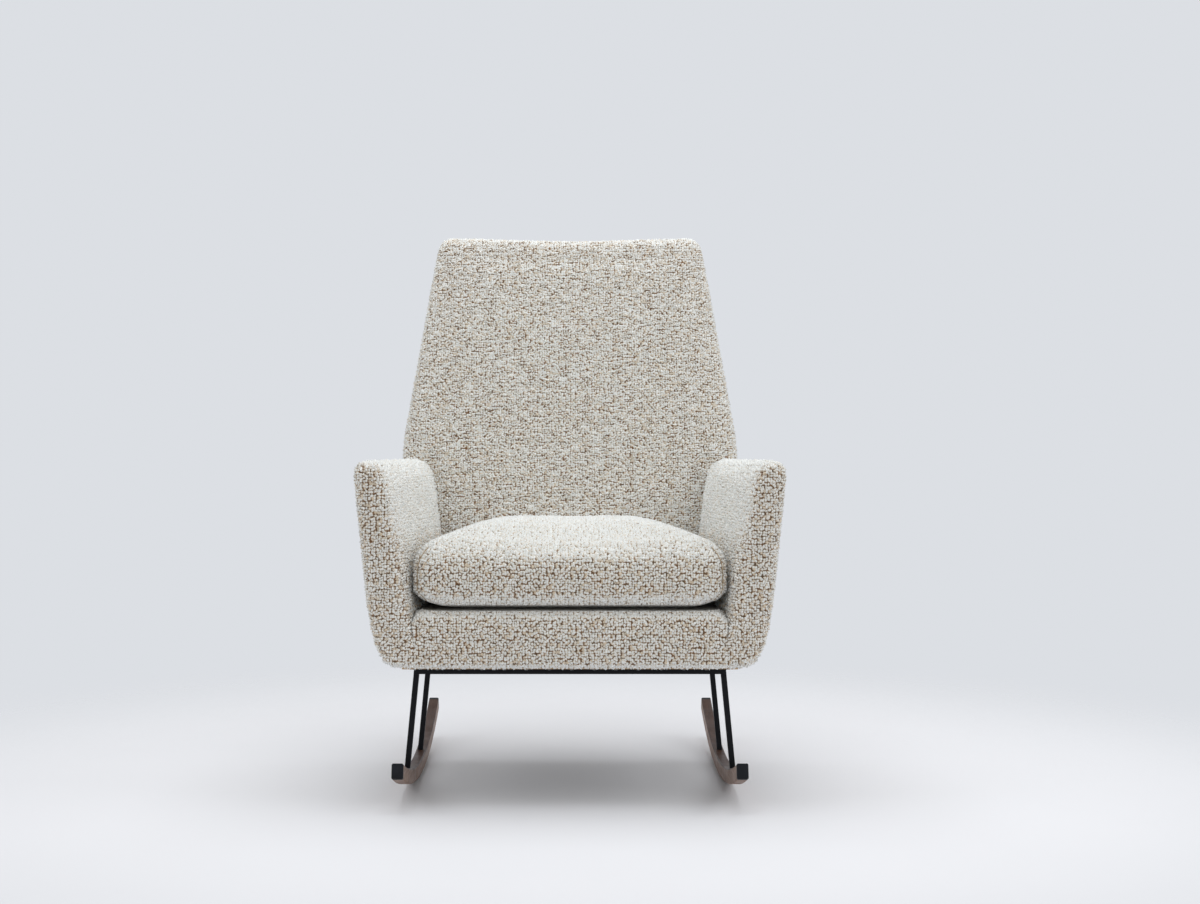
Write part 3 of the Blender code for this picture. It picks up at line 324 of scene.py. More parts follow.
def finish_material(tree, shade, height, distance, strength, **others):
    """Feed the shader its colour, its bump and the other inputs that vary."""
    relief = {"Height": height, "Distance": distance, "Strength": strength}
    normal = new_node(tree, "ShaderNodeBump", relief).outputs["Normal"]
    set_inputs(tree, node_of(tree, "BSDF_PRINCIPLED"), {"Base Color": shade, "Normal": normal, **others})


def speckle(tree, scale, low, high):
    inputs = {"Place": object_place(tree), "Scale": scale, "Low": low, "High": high}
    return use_group(tree, "Fine speckle", inputs)


def loop_cells(tree, weave):
    """One cell for each loop of the cloth; the nap and the colours share them."""
    wander = flat_noise(tree, weave, 0.55)["Color"]
    bent = calculate_vector(tree, "MULTIPLY_ADD", {0: wander, 1: (1.1, 1.1, 0.0), 2: weave})["Vector"]
    inputs = {"Vector": bent, "Scale": 1.0, "Randomness": 0.60}
    return new_node(tree, "ShaderNodeTexVoronoi", inputs, voronoi_dimensions="2D").outputs


def looped_cloth(name, row_contrast):
    """Cream and beige loops over a brown ground, laid out by the weave that comes with the mesh. The loops'
    sides and the holes between them carry painted shade, and painted paleness lightens the faces that light
    from above and slanting views make pale.

    The row contrast is how much the gaps between the loops open and close in rows across the cloth.
    """
    cloth = bpy.context.scene.chair_cloth
    plain = {
        "Roughness": 0.95,
        "Specular IOR Level": 0.2,
        "Sheen Weight": 0.75,
        "Sheen Roughness": 0.45,
        "Sheen Tint": (0.97, 0.99, 1.0),
    }
    _, tree = start_material(name, plain)
    place = object_place(tree)
    weave = new_node(tree, "ShaderNodeAttribute", attribute_name="weave").outputs["Vector"]
    fibre = noise(tree, place, 1300.0, 2.0, 0.6)
    tuft = noise(tree, place, 430.0, 1.0)
    rows = noise(tree, stretched(tree, weave, (0.22, 0.85, 0.0)), 1.0)
    cells = loop_cells(tree, weave)
    chance = new_node(tree, "ShaderNodeSeparateColor", {"Color": cells["Color"]}).outputs
    painted_paleness = new_node(tree, "ShaderNodeSeparateXYZ", {0: weave}).outputs["Z"]

    # How far a point lies inside its loop, with an uneven edge. Painted light closes that edge where light
    # from above and slanting views make the cloth look pale.
    inside = calculate(tree, "SUBTRACT", 0.38 - 0.5 * row_contrast, cells["Distance"])
    weights = (
        (tuft, 0.36),
        (fibre, 0.20),
        (chance["Green"], 0.08),
        (painted_paleness, 0.12),
        (rows, row_contrast),
    )
    for part, weight in weights:
        inside = calculate(tree, "MULTIPLY_ADD", part, weight, inside)

    # Painted light and shade: each loop runs from the darker flank at its edge to the cream crest, the dark
    # ground stands partly for the shade in the holes, and the painted paleness fades the beige flecks.
    beige = ramp(tree, chance["Red"], 0.66, 0.98, 0.0, ramp(tree, painted_paleness, 0.0, 1.0, 0.9, 0.3))
    crest = mix_colours(tree, beige, cloth.loop_colour, cloth.fleck_colour)
    flank = mix_colours(tree, chance["Green"], cloth.flank_shade_colour, cloth.fleck_colour)
    ground = mix_colours(tree, chance["Blue"], cloth.ground_and_shade_colour, warmer(cloth.ground_and_shade_colour))
    loop = mix_colours(tree, ramp(tree, inside, 0.14, 0.46), flank, crest)
    shade = mix_colours(tree, ramp(tree, inside, 0.07, 0.28), ground, loop)
    round_loops = ramp(tree, cells["Distance"], 0.62, 0.05)
    height = calculate(tree, "MULTIPLY_ADD", fibre, 0.35, round_loops)
    finish_material(tree, shade, height, 0.0016, 0.8)


def warmer(rgb):
    return (min(1.0, rgb[0] * 2.5), rgb[1] * 1.9, rgb[2] * 1.4)


def darker(rgb):
    return [0.6 * part for part in rgb]


def sewing_thread():
    """Twisted tan thread."""
    _, tree = start_material("sewing thread", {"Roughness": 0.6})
    base = bpy.context.scene.chair_cloth.thread_colour
    twist = noise(tree, object_place(tree), 2600.0)
    shade = mix_colours(tree, ramp(tree, twist, 0.35, 0.65), darker(base), base)
    finish_material(tree, shade, twist, 0.0002, 0.6)


def rocker_wood():
    """Taupe-stained wood with long grain under a satin lacquer, with painted shade darkening its upper faces.
    """
    look = bpy.context.scene.chair_finishes
    plain = {"Specular IOR Level": 0.12, "Coat Weight": 0.08, "Coat Roughness": 0.26}
    material, tree = start_material("rocker wood", plain)
    # Painted shade: faces that look upwards are mixed towards a darker colour, for the shade under the seat.
    normal = new_node(tree, "ShaderNodeNewGeometry").outputs["Normal"]
    top_shade_share = ramp(tree, new_node(tree, "ShaderNodeSeparateXYZ", {0: normal}).outputs["Z"], 0.15, 0.55)
    inputs = {
        "Place": object_place(tree),
        "Stretch": (150.0, 9.0, 150.0),
        "Light": mix_colours(tree, top_shade_share, look.rocker_light, look.rocker_top_shade),
        "Dark": mix_colours(tree, top_shade_share, look.rocker_dark, darker(look.rocker_top_shade)),
    }
    grain = use_group(tree, "Wood grain", inputs)
    gloss = speckle(tree, 900.0, 0.42, 0.58)["Gloss"]
    finish_material(tree, grain["Color"], grain["Height"], 0.0003, 0.5, Roughness=gloss)
    return material


def frame_timber():
    """Unfinished softwood of the hidden frame."""
    look = bpy.context.scene.chair_finishes
    material, tree = start_material("frame timber", {"Roughness": 0.75})
    inputs = {
        "Place": object_place(tree),
        "Stretch": (14.0, 60.0, 90.0),
        "Light": look.timber_light,
        "Dark": look.timber_dark,
    }
    grain = use_group(tree, "Wood grain", inputs)
    finish_material(tree, grain["Color"], grain["Height"], 0.0004, 0.6)
    return material


def painted(name, paint, low, high, grain):
    """Dark paint or plastic with a fine speckled skin."""
    material, tree = start_material(name, {"Specular IOR Level": 0.16})
    skin = speckle(tree, grain, low, high)
    lighter = [min(1.0, part * 1.9 + 0.004) for part in paint]
    shade = mix_colours(tree, ramp(tree, skin["Marks"], 0.45, 0.8), paint, lighter)
    finish_material(tree, shade, skin["Height"], 0.00008, 0.5, Roughness=skin["Gloss"])
    return material


def bare_metal(name, bright, dull, low, high):
    """Plated or drawn metal with dull patches."""
    material, tree = start_material(name, {"Metallic": 1.0})
    skin = speckle(tree, 700.0, low, high)
    shade = mix_colours(tree, ramp(tree, skin["Marks"], 0.35, 0.7), bright, dull)
    finish_material(tree, shade, skin["Height"], 0.00005, 0.4, Roughness=skin["Gloss"])
    return material


def deck_wadding():
    """Matted grey fibres."""
    material, tree = start_material("deck wadding", {"Roughness": 0.95})
    fibre = noise(tree, stretched(tree, object_place(tree), (1.0, 1.0, 2.5)), 420.0, 4.0, 0.65, 0.8)
    shade = mix_colours(tree, ramp(tree, fibre, 0.3, 0.7), (0.40, 0.38, 0.35), (0.62, 0.60, 0.56))
    finish_material(tree, shade, fibre, 0.0008, 0.7)
    return material


def woven(name, light, dark, pitch):
    """Plain woven strap or lining, its threads across and up the chair."""
    material, tree = start_material(name, {"Roughness": 0.85})
    turns = math.pi / pitch
    inputs = {
        "Place": object_place(tree),
        "Across": (turns, 0.0, 0.0),
        "Along": (0.0, turns * 0.35, turns),
    }
    weave = use_group(tree, "Plain weave", inputs)
    shade = mix_colours(tree, weave["Thread"], dark, light)
    finish_material(tree, shade, weave["Height"], pitch * 0.25, 0.8)
    return material


# Helpers for meshes


def put_on(material, mesh):
    mesh.materials.clear()
    mesh.materials.append(material)


def add_object(name, mesh):
    obj = bpy.data.objects.new(name, mesh)
    bpy.context.scene.collection.objects.link(obj)
    return obj


def node_copy(node, name):
    """A new object with the closed shape of a CAD node."""
    shape = bmesh.new()
    shape.from_mesh(NODES[node].data)
    bmesh.ops.remove_doubles(shape, verts=shape.verts, dist=1e-5)
    mesh = bpy.data.meshes.new(name)
    shape.to_mesh(mesh)
    shape.free()
    return add_object(name, mesh)


def bake(obj):
    """Make the object's evaluated shape its plain mesh."""
    graph = bpy.context.evaluated_depsgraph_get()
    mesh = bpy.data.meshes.new_from_object(obj.evaluated_get(graph))
    old = obj.data
    obj.modifiers.clear()
    obj.data = mesh
    mesh.name = old.name
    bpy.data.meshes.remove(old)


def cloth_sheets(name, sheets, material, thickness):
    """A piece of one or more thin sheets, each given as rows of points, half its thickness to each side."""
    points = []
    faces = []
    for rows in sheets:
        start = len(points)
        width = len(rows[0])
        points += [tuple(point) for row in rows for point in row]
        for row in range(len(rows) - 1):
            for column in range(width - 1):
                corner = start + row * width + column
                faces.append((corner, corner + 1, corner + width + 1, corner + width))
    mesh = bpy.data.meshes.new(name)
    mesh.from_pydata(points, [], faces)
    put_on(material, mesh)
    obj = add_object(name, mesh)
    solid = obj.modifiers.new("Thickness", "SOLIDIFY")
    solid.thickness = thickness
    solid.offset = 0.0
    bake(obj)
    obj.data.shade_smooth()
    return obj


def read(items, name, width=1, kind=float):
    """One property of all points, edges or faces, with a row of values for each."""
    values = np.empty(len(items) * width, kind)
    items.foreach_get(name, values)
    return values if width == 1 else values.reshape(-1, width)


def points_of(mesh):
    return read(mesh.vertices, "co", 3)


def normals_of(mesh):
    return read(mesh.vertex_normals, "vector", 3, np.float32).astype(float)


def set_points(mesh, points):
    mesh.vertices.foreach_set("co", points.ravel())
    mesh.update()


def smoothed(mesh, values, rounds, free=1.0, shares=(0.5,)):
    """Draw each point's value towards the mean of its neighbours, where it is free to move."""
    ends = read(mesh.edges, "vertices", 2, np.int32)
    here, there = np.concatenate((ends, ends[:, ::-1])).T
    counts = np.bincount(here, minlength=len(values))
    for _ in range(rounds):
        for share in shares:
            sums = [np.bincount(here, column[there], len(values)) for column in values.T]
            values = values + share * free * (np.stack(sums, axis=1) / counts[:, None] - values)
    return values


def relaxed(mesh, rounds, free=1.0):
    """The points evened out; each round smooths and then swells back, so that edges stay full."""
    return smoothed(mesh, points_of(mesh), rounds, free, shares=(0.5, -0.52))


def eased(share):
    """A smooth step from 0 to 1."""
    share = np.clip(share, 0.0, 1.0)
    return share * share * (3.0 - 2.0 * share)


def facing(share):
    """How squarely a face looks some way, from 0 to 1; the share is its normal's part that way."""
    return eased((share - 0.2) / 0.6)


def search_tree(meshes):
    """A search tree of the faces of these meshes."""
    points = []
    faces = []
    for mesh in meshes:
        start = len(points)
        points += [vertex.co.copy() for vertex in mesh.vertices]
        faces += [[start + index for index in face.vertices] for face in mesh.polygons]
    return BVHTree.FromPolygons(points, faces)


def mark_open(obj, node, reach, nearest):
    """Store on each point how open it is to view: 0 where the frame stands close before it, else up to 1.

    Gives that share, and for each point 1 where it is free to move or 0 where it touches the frame.
    """
    around = search_tree([other.data for name, other in NODES.items() if name != node])
    behind = 0.004  # a ray starts this far inside the pad, so that it meets a face that touches the pad
    mesh = obj.data
    normals = normals_of(mesh)
    shown = np.ones(len(mesh.vertices), np.float32)
    free = np.ones((len(mesh.vertices), 1))
    for index, point in enumerate(points_of(mesh)):
        normal = Vector(normals[index])
        hit, _, _, distance = around.ray_cast(Vector(point) - normal * behind, normal, reach + behind)
        if hit is not None:
            shown[index] = min(1.0, max(0.0, (distance - behind - nearest) / (reach - nearest + 1e-6)))
        if around.find_nearest(point, TOUCHING)[0] is not None:
            free[index] = 0.0
    layer = mesh.attributes.new("open", "FLOAT", "POINT")
    layer.data.foreach_set("value", shown)
    return shown[:, None], free


def fill(obj, held, pressure, most):
    """Blow the pad up against its held points; how far each point then stands out, up to a limit."""
    group = obj.vertex_groups.new(name="held")
    group.add([int(index) for index in np.flatnonzero(held)], 1.0, "REPLACE")
    cloth = obj.modifiers.new("Filling", "CLOTH")
    cloth.settings.vertex_group_mass = group.name
    cloth.settings.use_pressure = True
    cloth.settings.uniform_pressure_force = pressure
    cloth.settings.effector_weights.gravity = 0.0
    cloth.settings.quality = 4
    cloth.collision_settings.use_collision = False
    cloth.point_cache.frame_start = 1
    cloth.point_cache.frame_end = FILL_STEPS
    before = points_of(obj.data)
    outwards = normals_of(obj.data)
    for step in range(1, FILL_STEPS + 1):
        bpy.context.scene.frame_set(step)
    graph = bpy.context.evaluated_depsgraph_get()
    after = points_of(obj.evaluated_get(graph).data)
    obj.modifiers.remove(cloth)
    obj.vertex_groups.clear()
    bpy.context.scene.frame_set(1)
    swell = np.clip(np.sum((after - before) * outwards, axis=1, keepdims=True), 0.0, most)
    return smoothed(obj.data, swell, rounds=12)


def refine(obj, rounds):
    """Halve the faces that are open to view, and leave the covered ones large."""
    covered = 0.3  # a point no more open than this counts as covered
    shape = bmesh.new()
    shape.from_mesh(obj.data)
    layer = shape.verts.layers.float["open"]
    for _ in range(rounds):
        faces = [face for face in shape.faces if any(point[layer] > covered for point in face.verts)]
        edges = {edge for face in faces for edge in face.edges}
        bmesh.ops.subdivide_edges(shape, edges=list(edges), cuts=1, use_grid_fill=True)
    shape.to_mesh(obj.data)
    shape.free()


def pad_from_node(node, name, swell, reach=0.007, nearest=0.001, shape=None, rounds=2):
    """The filled form of a padded CAD node, fine enough for its cloth where it is open to view."""
    sizes = bpy.context.scene.chair_padding
    obj = node_copy(node, name)
    remesh = obj.modifiers.new("Even faces", "REMESH")
    remesh.mode = "VOXEL"
    remesh.voxel_size = sizes.mesh_size
    bake(obj)
    mesh = obj.data
    shown, free = mark_open(obj, node, reach, nearest)
    loose = shown * free
    set_points(mesh, relaxed(mesh, rounds=8, free=free))
    set_points(mesh, points_of(mesh) - normals_of(mesh) * loose * sizes.tightening)
    simulated = swell > 0.0 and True
    rise = fill(obj, free[:, 0] < 0.5, sizes.pressure, swell) if simulated else swell
    set_points(mesh, points_of(mesh) + normals_of(mesh) * loose * rise)
    if shape is not None:
        set_points(mesh, shape(points_of(mesh), normals_of(mesh)))
    refine(obj, rounds)
    set_points(mesh, relaxed(mesh, rounds=3))
    return obj


# Shapes that the pads take once they are filled


def plump(points, normals):
    """Lift the lower edge of the seat cushion, fill its shoulders and round its front over."""
    sizes = bpy.context.scene.chair_padding
    underside = 0.006  # points lower than this lie on the flat underside
    edge_height = 0.05  # the lower edge is lifted up to this height
    round_over = 0.07  # the front leans back over this height above its belly
    front_depth = 0.15  # what counts as the front, from its face backwards
    corner_share = 0.22  # what counts as a corner, as a share of the half width
    corner_height = 0.06  # the lower corners are lifted up to this height
    height = points[:, 2] - points[:, 2].min()
    flat = points[height < underside]
    inside = np.minimum(flat.max(axis=0) - points, points - flat.min(axis=0))[:, :2].min(axis=1)
    edge = eased(1.0 - inside / sizes.lift_width) * eased(1.0 - height / edge_height)
    across = np.abs(points[:, 0]) / np.abs(points[:, 0]).max()
    crown = sizes.shoulder * np.sin(math.pi * across**2) - sizes.crown_lowering
    over = np.clip((height - sizes.front_belly) / round_over, 0.0, 1.0)
    under = np.clip((sizes.front_belly - height) / sizes.front_belly, 0.0, 1.0)
    front = eased(1.0 - (points[:, 1] - points[:, 1].min()) / front_depth)
    corner = front * eased((across - 1.0) / corner_share + 1.0) * eased(1.0 - height / corner_height)
    lift = sizes.cushion_lift * edge + sizes.corner_lift * corner
    points[:, 1] += sizes.front_rounding * front * (over**2 + 0.5 * under**2)
    points[:, 2] += lift + crown * facing(normals[:, 2])
    return points


def cleared_below(points, normals):
    """Let the underside in by the height of the loops, so that the base's rail shows below them."""
    fade = 0.03  # the change fades out over this height
    low = eased(1.0 - (points[:, 2] - points[:, 2].min()) / fade)
    points[:, 2] += bpy.context.scene.chair_cloth.loop_height * low * facing(-normals[:, 2])
    return points


def dipped_top(points, normals):
    """Let the top of the back in, and most in its middle."""
    sizes = bpy.context.scene.chair_padding
    rim = 0.03  # the back's width is taken from points this near to its top
    fade = 0.12  # the change fades out this far below the top
    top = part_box("inside_back")[1][2]
    half = np.abs(points[points[:, 2] > top - rim, 0]).max()
    middle = np.cos(0.5 * math.pi * np.clip(np.abs(points[:, 0]) / half, 0.0, 1.0)) ** 2
    share = eased(1.0 - (top - points[:, 2]) / fade)
    points[:, 2] -= share * (sizes.back_lowering + sizes.back_dip * middle)
    return points


def tucked_ends(points, normals):
    """Draw the ends of the apron out below its top corners, in behind the front of the arms."""
    corner = 0.03  # height of the top corners, below which the tuck sets in over as much again
    sideways = np.clip(1.5 * np.abs(normals[:, 0]), 0.0, 1.0) * np.sign(normals[:, 0])
    below = eased((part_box("front_apron")[1][2] - corner - points[:, 2]) / corner)
    points[:, 0] += bpy.context.scene.chair_padding.apron_tuck * sideways * below
    return cleared_below(points, normals)


# The cloth's nap, seams and staples


def named(tree, name, kind):
    made = new_node(tree, "GeometryNodeInputNamedAttribute", {"Name": name}, data_type=kind)
    return made.outputs["Attribute"]


def finish_tree(tree, geometry, material, result):
    real = new_node(tree, "GeometryNodeRealizeInstances", {"Geometry": geometry}).outputs[0]
    dressed = new_node(tree, "GeometryNodeSetMaterial", {"Geometry": real, "Material": material})
    set_inputs(tree, result, {"Geometry": dressed.outputs[0]})


def nap_tree():
    """Raise the loops of the cloth along the surface where it is open to view."""
    inputs = {"Geometry": "Geometry", "Loop Height": "Float", "Lowest Share": "Float", "Material": "Material"}
    tree, given, result = new_group("Looped nap", "GeometryNodeTree", inputs, {"Geometry": "Geometry"})
    weave = named(tree, "weave", "FLOAT_VECTOR")
    loop = ramp(tree, loop_cells(tree, weave)["Distance"], 0.66, 0.08)
    shown = calculate(tree, "MULTIPLY", loop, named(tree, "open", "FLOAT"))
    uneven = ramp(tree, flat_noise(tree, weave, 0.8)["Fac"], 0.32, 0.68, given["Lowest Share"], 1.25)
    rise = calculate(tree, "MULTIPLY", calculate(tree, "MULTIPLY", shown, uneven), given["Loop Height"])
    normal = new_node(tree, "GeometryNodeInputNormal").outputs[0]
    offset = calculate_vector(tree, "SCALE", {0: normal, "Scale": rise})["Vector"]
    raised = new_node(tree, "GeometryNodeSetPosition", {"Geometry": given["Geometry"], "Offset": offset})
    finish_tree(tree, raised.outputs[0], given["Material"], result)


def stitch_tree():
    """Short bowed wires one after another along a path: the stitches of a seam, or a row of staples."""
    inputs = {
        "Geometry": "Geometry",
        "Spacing": "Float",
        "Length": "Float",
        "Thickness": "Float",
        "Material": "Material",
    }
    tree, given, result = new_group("Stitched line", "GeometryNodeTree", inputs, {"Geometry": "Geometry"})
    path = new_node(tree, "GeometryNodeMeshToCurve", {"Mesh": given["Geometry"]}).outputs[0]
    along = {"Curve": path, "Length": given["Spacing"]}
    places = new_node(tree, "GeometryNodeResampleCurve", along, mode="LENGTH").outputs[0]
    wire = bowed_wire(tree, given)
    tangent = new_node(tree, "GeometryNodeInputTangent").outputs[0]
    kind = "FunctionNodeAlignRotationToVector"
    turned = new_node(tree, kind, {"Vector": tangent}, axis="X").outputs[0]
    outwards = {"Rotation": turned, "Vector": named(tree, "facing", "FLOAT_VECTOR")}
    turned = new_node(tree, kind, outwards, axis="Z", pivot_axis="X").outputs[0]
    placed = {"Points": places, "Instance": wire, "Rotation": turned, "Scale": given["Length"]}
    rows = new_node(tree, "GeometryNodeInstanceOnPoints", placed).outputs[0]
    finish_tree(tree, rows, given["Material"], result)


def bowed_wire(tree, given):
    """A round wire one unit long, bowed up over its two ends."""
    half = math.radians(27.0)
    radius = 0.5 / math.sin(half)
    arc = {"Resolution": 6, "Radius": radius, "Start Angle": 0.5 * math.pi - half, "Sweep Angle": 2.0 * half}
    bow = new_node(tree, "GeometryNodeCurveArc", arc, mode="RADIUS").outputs["Curve"]
    stood = {
        "Geometry": bow,
        "Translation": (0.0, 0.0, -radius * math.cos(half)),
        "Rotation": (0.5 * math.pi, 0.0, 0.0),
    }
    bow = new_node(tree, "GeometryNodeTransform", stood).outputs[0]
    thick = calculate(tree, "DIVIDE", calculate(tree, "MULTIPLY", given["Thickness"], 0.5), given["Length"])
    round_wire = {"Resolution": 6, "Radius": thick}
    section = new_node(tree, "GeometryNodeCurvePrimitiveCircle", round_wire, mode="RADIUS").outputs["Curve"]
    shape = {"Curve": bow, "Profile Curve": section, "Fill Caps": True}
    return new_node(tree, "GeometryNodeCurveToMesh", shape).outputs[0]


def run_tree(obj, name, values):
    """Run a geometry node tree on an object and keep the result as its plain mesh."""
    tree = bpy.data.node_groups[name]
    modifier = obj.modifiers.new(name, "NODES")
    modifier.node_group = tree
    for socket in tree.interface.items_tree:
        if socket.in_out == "INPUT" and socket.name in values:
            modifier[socket.identifier] = values[socket.name]
    bake(obj)
    obj.data.shade_smooth()


def lay_weave(obj, across, along, painted_paleness):
    """Store where each face corner lies in the cloth, in loops, and its share of painted paleness.

    Front, side and top each have their own run. The painted paleness is painted light: it closes the gaps
    between the loops and fades the flecks, for the pale look that light from above and slanting views give
    the cloth. Where no share is given, level faces and the insides of the arms get it most.
    """
    mesh = obj.data
    pitch = bpy.context.scene.chair_cloth.loop_pitch
    points = points_of(mesh)
    normals = normals_of(mesh)
    corners = read(mesh.loops, "vertex_index", kind=np.int32)
    counts = read(mesh.polygons, "loop_total", kind=np.int32)
    directions = read(mesh.polygons, "normal", 3)
    main_axis = np.repeat(np.argmax(np.abs(directions), axis=1), counts)
    run = np.zeros((len(corners), 3))
    for axis, (first, second) in enumerate(((1, 2), (0, 2), (0, 1))):
        here = main_axis == axis
        run[here, 0] = points[corners[here], first] / (pitch * across)
        run[here, 1] = points[corners[here], second] / (pitch * along)
    onset = 0.08  # over this height, up to the cushion's top, the arms' insides get more and more painted paleness
    arm_share = 0.8  # how much of a level face's painted paleness the inside of an arm gets
    above = eased((points[:, 2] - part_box("seat_cushion")[1][2]) / onset + 1.0)
    inwards = -normals[:, 0] * np.sign(points[:, 0]) * above
    level = np.maximum(np.abs(normals[:, 2]), arm_share * inwards)
    # Painted light: this share lightens the cloth where light from above and slanting views make it look
    # pale.
    run[:, 2] = facing(level)[corners] if painted_paleness is None else painted_paleness
    layer = mesh.attributes.new("weave", "FLOAT_VECTOR", "CORNER")
    layer.data.foreach_set("vector", run.ravel())


def add_nap(obj, material="looped cloth", across=1.0, along=1.0, painted_paleness=None):
    """Cover a pad with its looped cloth."""
    lay_weave(obj, across, along, painted_paleness)
    cloth = bpy.context.scene.chair_cloth
    values = {
        "Loop Height": cloth.loop_height,
        "Lowest Share": cloth.lowest_share,
        "Material": bpy.data.materials[material],
    }
    run_tree(obj, "Looped nap", values)


def crease(obj, path, depth, width):
    """Press a groove into the pad along a line of points, with no loops standing in it."""
    line = KDTree(len(path))
    for index, point in enumerate(path):
        line.insert(point, index)
    line.balance()
    mesh = obj.data
    points = points_of(mesh)
    distance = np.array([line.find(point)[2] for point in points])
    pressed = np.exp(-((distance / width) ** 2))
    set_points(mesh, points - normals_of(mesh) * depth * pressed[:, None])
    layer = mesh.attributes["open"].data
    shown = read(layer, "value", kind=np.float32)
    layer.foreach_set("value", (shown * (1.0 - pressed)).astype(np.float32))


def lay_stitches(name, points, facings, sizes, material, closed=False):
    """A seam or a row of staples along a line of points, as a piece of its own.

    The sizes are the spacing, the length and the thickness of the stitches.
    """
    steps = [(index, index + 1) for index in range(len(points) - 1)]
    if closed:
        steps.append((len(points) - 1, 0))
    mesh = bpy.data.meshes.new(name)
    mesh.from_pydata([tuple(point) for point in points], steps, [])
    layer = mesh.attributes.new("facing", "FLOAT_VECTOR", "POINT")
    layer.data.foreach_set("vector", np.array([tuple(way) for way in facings], np.float32).ravel())
    obj = add_object(name, mesh)
    values = dict(zip(("Spacing", "Length", "Thickness"), sizes))
    run_tree(obj, "Stitched line", {**values, "Material": bpy.data.materials[material]})
    return obj


# Handing the pieces to the frame


def hand_over(obj, body, node):
    """Give a finished pad to the frame in place of its CAD node."""
    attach(obj, body)
    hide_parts(node)


def dress(material, names):
    """Put a finish on CAD nodes whose shape is already right."""
    for name in names:
        put_on(material, NODES[name].data)


def nodes_with(endings="", start=""):
    return [name for name in NODES if name.startswith(start) and name.endswith(endings)]


# Operators, one for each piece or group of like pieces


class ROCKINGCHAIR_OT_stage(bpy.types.Operator):
    """Set up the camera, the soft studio light, the wall and the floor"""

    bl_idname = "rocking_chair.stage"
    bl_label = "Stage"

    def execute(self, context):
        sizes = context.scene.chair_stage
        context.scene.view_settings.view_transform = "Standard"
        self.make_camera(context.scene, sizes)
        self.make_world(context.scene, sizes)
        self.make_floor(sizes)
        white = (1.0, 1.0, 1.0)
        lamps = (
            ("overhead", (0.0, 0.15, 2.7), (0.0, 0.05, 0.3), 2.2, sizes.overhead_power, sizes.overhead_tint),
            ("left", (-2.3, -0.5, 2.0), (0.1, 0.0, 0.45), 1.6, sizes.left_power, white),
            ("right", (2.3, -0.5, 2.0), (-0.1, 0.0, 0.45), 1.6, sizes.right_power, white),
            ("front", (0.9, -3.6, 1.7), (0.0, 0.0, 0.55), 2.2, sizes.front_power, white),
        )
        for lamp in lamps:
            self.make_lamp(*lamp)
        return {"FINISHED"}

    def make_camera(self, scene, sizes):
        data = bpy.data.cameras.new("photo camera")
        data.lens = sizes.lens
        data.sensor_width = 36.0
        data.shift_x = sizes.camera_shift
        camera = add_object("photo camera", data)
        camera.location = (0.0, -sizes.camera_distance, sizes.camera_height)
        camera.rotation_euler = (math.radians(90.0), 0.0, 0.0)
        scene.camera = camera

    def make_lamp(self, side, place, aim, size, power, tint):
        data = bpy.data.lights.new(f"{side} softbox", "AREA")
        data.shape = "SQUARE"
        data.size = size
        data.energy = power
        data.color = tint
        lamp = add_object(data.name, data)
        lamp.location = place
        lamp.rotation_euler = (Vector(aim) - Vector(place)).to_track_quat("-Z", "Y").to_euler()

    def make_world(self, scene, sizes):
        """Even soft light all round; the camera and reflections see the pale wall."""
        world = bpy.data.worlds.new("studio")
        scene.world = world
        world.use_nodes = True
        tree = world.node_tree
        tree.nodes.clear()
        path = new_node(tree, "ShaderNodeLightPath").outputs
        seen = calculate(tree, "MAXIMUM", path["Is Camera Ray"], path["Is Glossy Ray"])
        seen = calculate(tree, "MAXIMUM", seen, path["Is Transmission Ray"])
        even_light = {"Color": sizes.light_colour, "Strength": sizes.light_strength}
        pale_wall = {"Color": sizes.wall_colour, "Strength": 1.0}
        light = new_node(tree, "ShaderNodeBackground", even_light).outputs[0]
        wall = new_node(tree, "ShaderNodeBackground", pale_wall).outputs[0]
        both = new_node(tree, "ShaderNodeMixShader", {0: seen, 1: light, 2: wall}).outputs[0]
        new_node(tree, "ShaderNodeOutputWorld", {"Surface": both})

    def make_floor(self, sizes):
        """A pale floor that melts into the wall behind the chair and keeps the chair's shadow."""
        shape = bmesh.new()
        bmesh.ops.create_grid(shape, x_segments=24, y_segments=24, size=6.0)
        mesh = bpy.data.meshes.new("studio floor")
        shape.to_mesh(mesh)
        shape.free()
        mesh.transform(Matrix.Translation((0.0, 0.0, -FLOOR_GAP)))
        plain = {"Roughness": 0.9, "Specular IOR Level": 0.1}
        material, tree = start_material("studio floor", plain)
        shader = node_of(tree, "BSDF_PRINCIPLED")
        place = object_place(tree)
        away = calculate_vector(tree, "LENGTH", {0: place})["Value"]
        paler = [part * 1.02 for part in sizes.floor_colour]
        shade = mix_colours(tree, noise(tree, place, 3.0, 3.0), sizes.floor_colour, paler)
        set_inputs(tree, shader, {"Base Color": shade})
        clear = new_node(tree, "ShaderNodeBsdfTransparent").outputs[0]
        fade_start = 0.8
        fade_end = 1.9
        faded = {0: ramp(tree, away, fade_start, fade_end), 1: shader.outputs[0], 2: clear}
        both = new_node(tree, "ShaderNodeMixShader", faded).outputs[0]
        set_inputs(tree, node_of(tree, "OUTPUT_MATERIAL"), {"Surface": both})
        put_on(material, mesh)
        add_object("studio_floor", mesh)


class ROCKINGCHAIR_OT_cloth(bpy.types.Operator):
    """Make the looped cloth, its nap and the effects that the finishes share"""

    bl_idname = "rocking_chair.cloth"
    bl_label = "Cloth and effects"

    def execute(self, context):
        grain_group()
        speckle_group()
        weave_group()
        nap_tree()
        stitch_tree()
        cloth = context.scene.chair_cloth
        looped_cloth("looped cloth", cloth.row_contrast)
        looped_cloth("looped back cloth", cloth.back_row_contrast)
        sewing_thread()
        return {"FINISHED"}


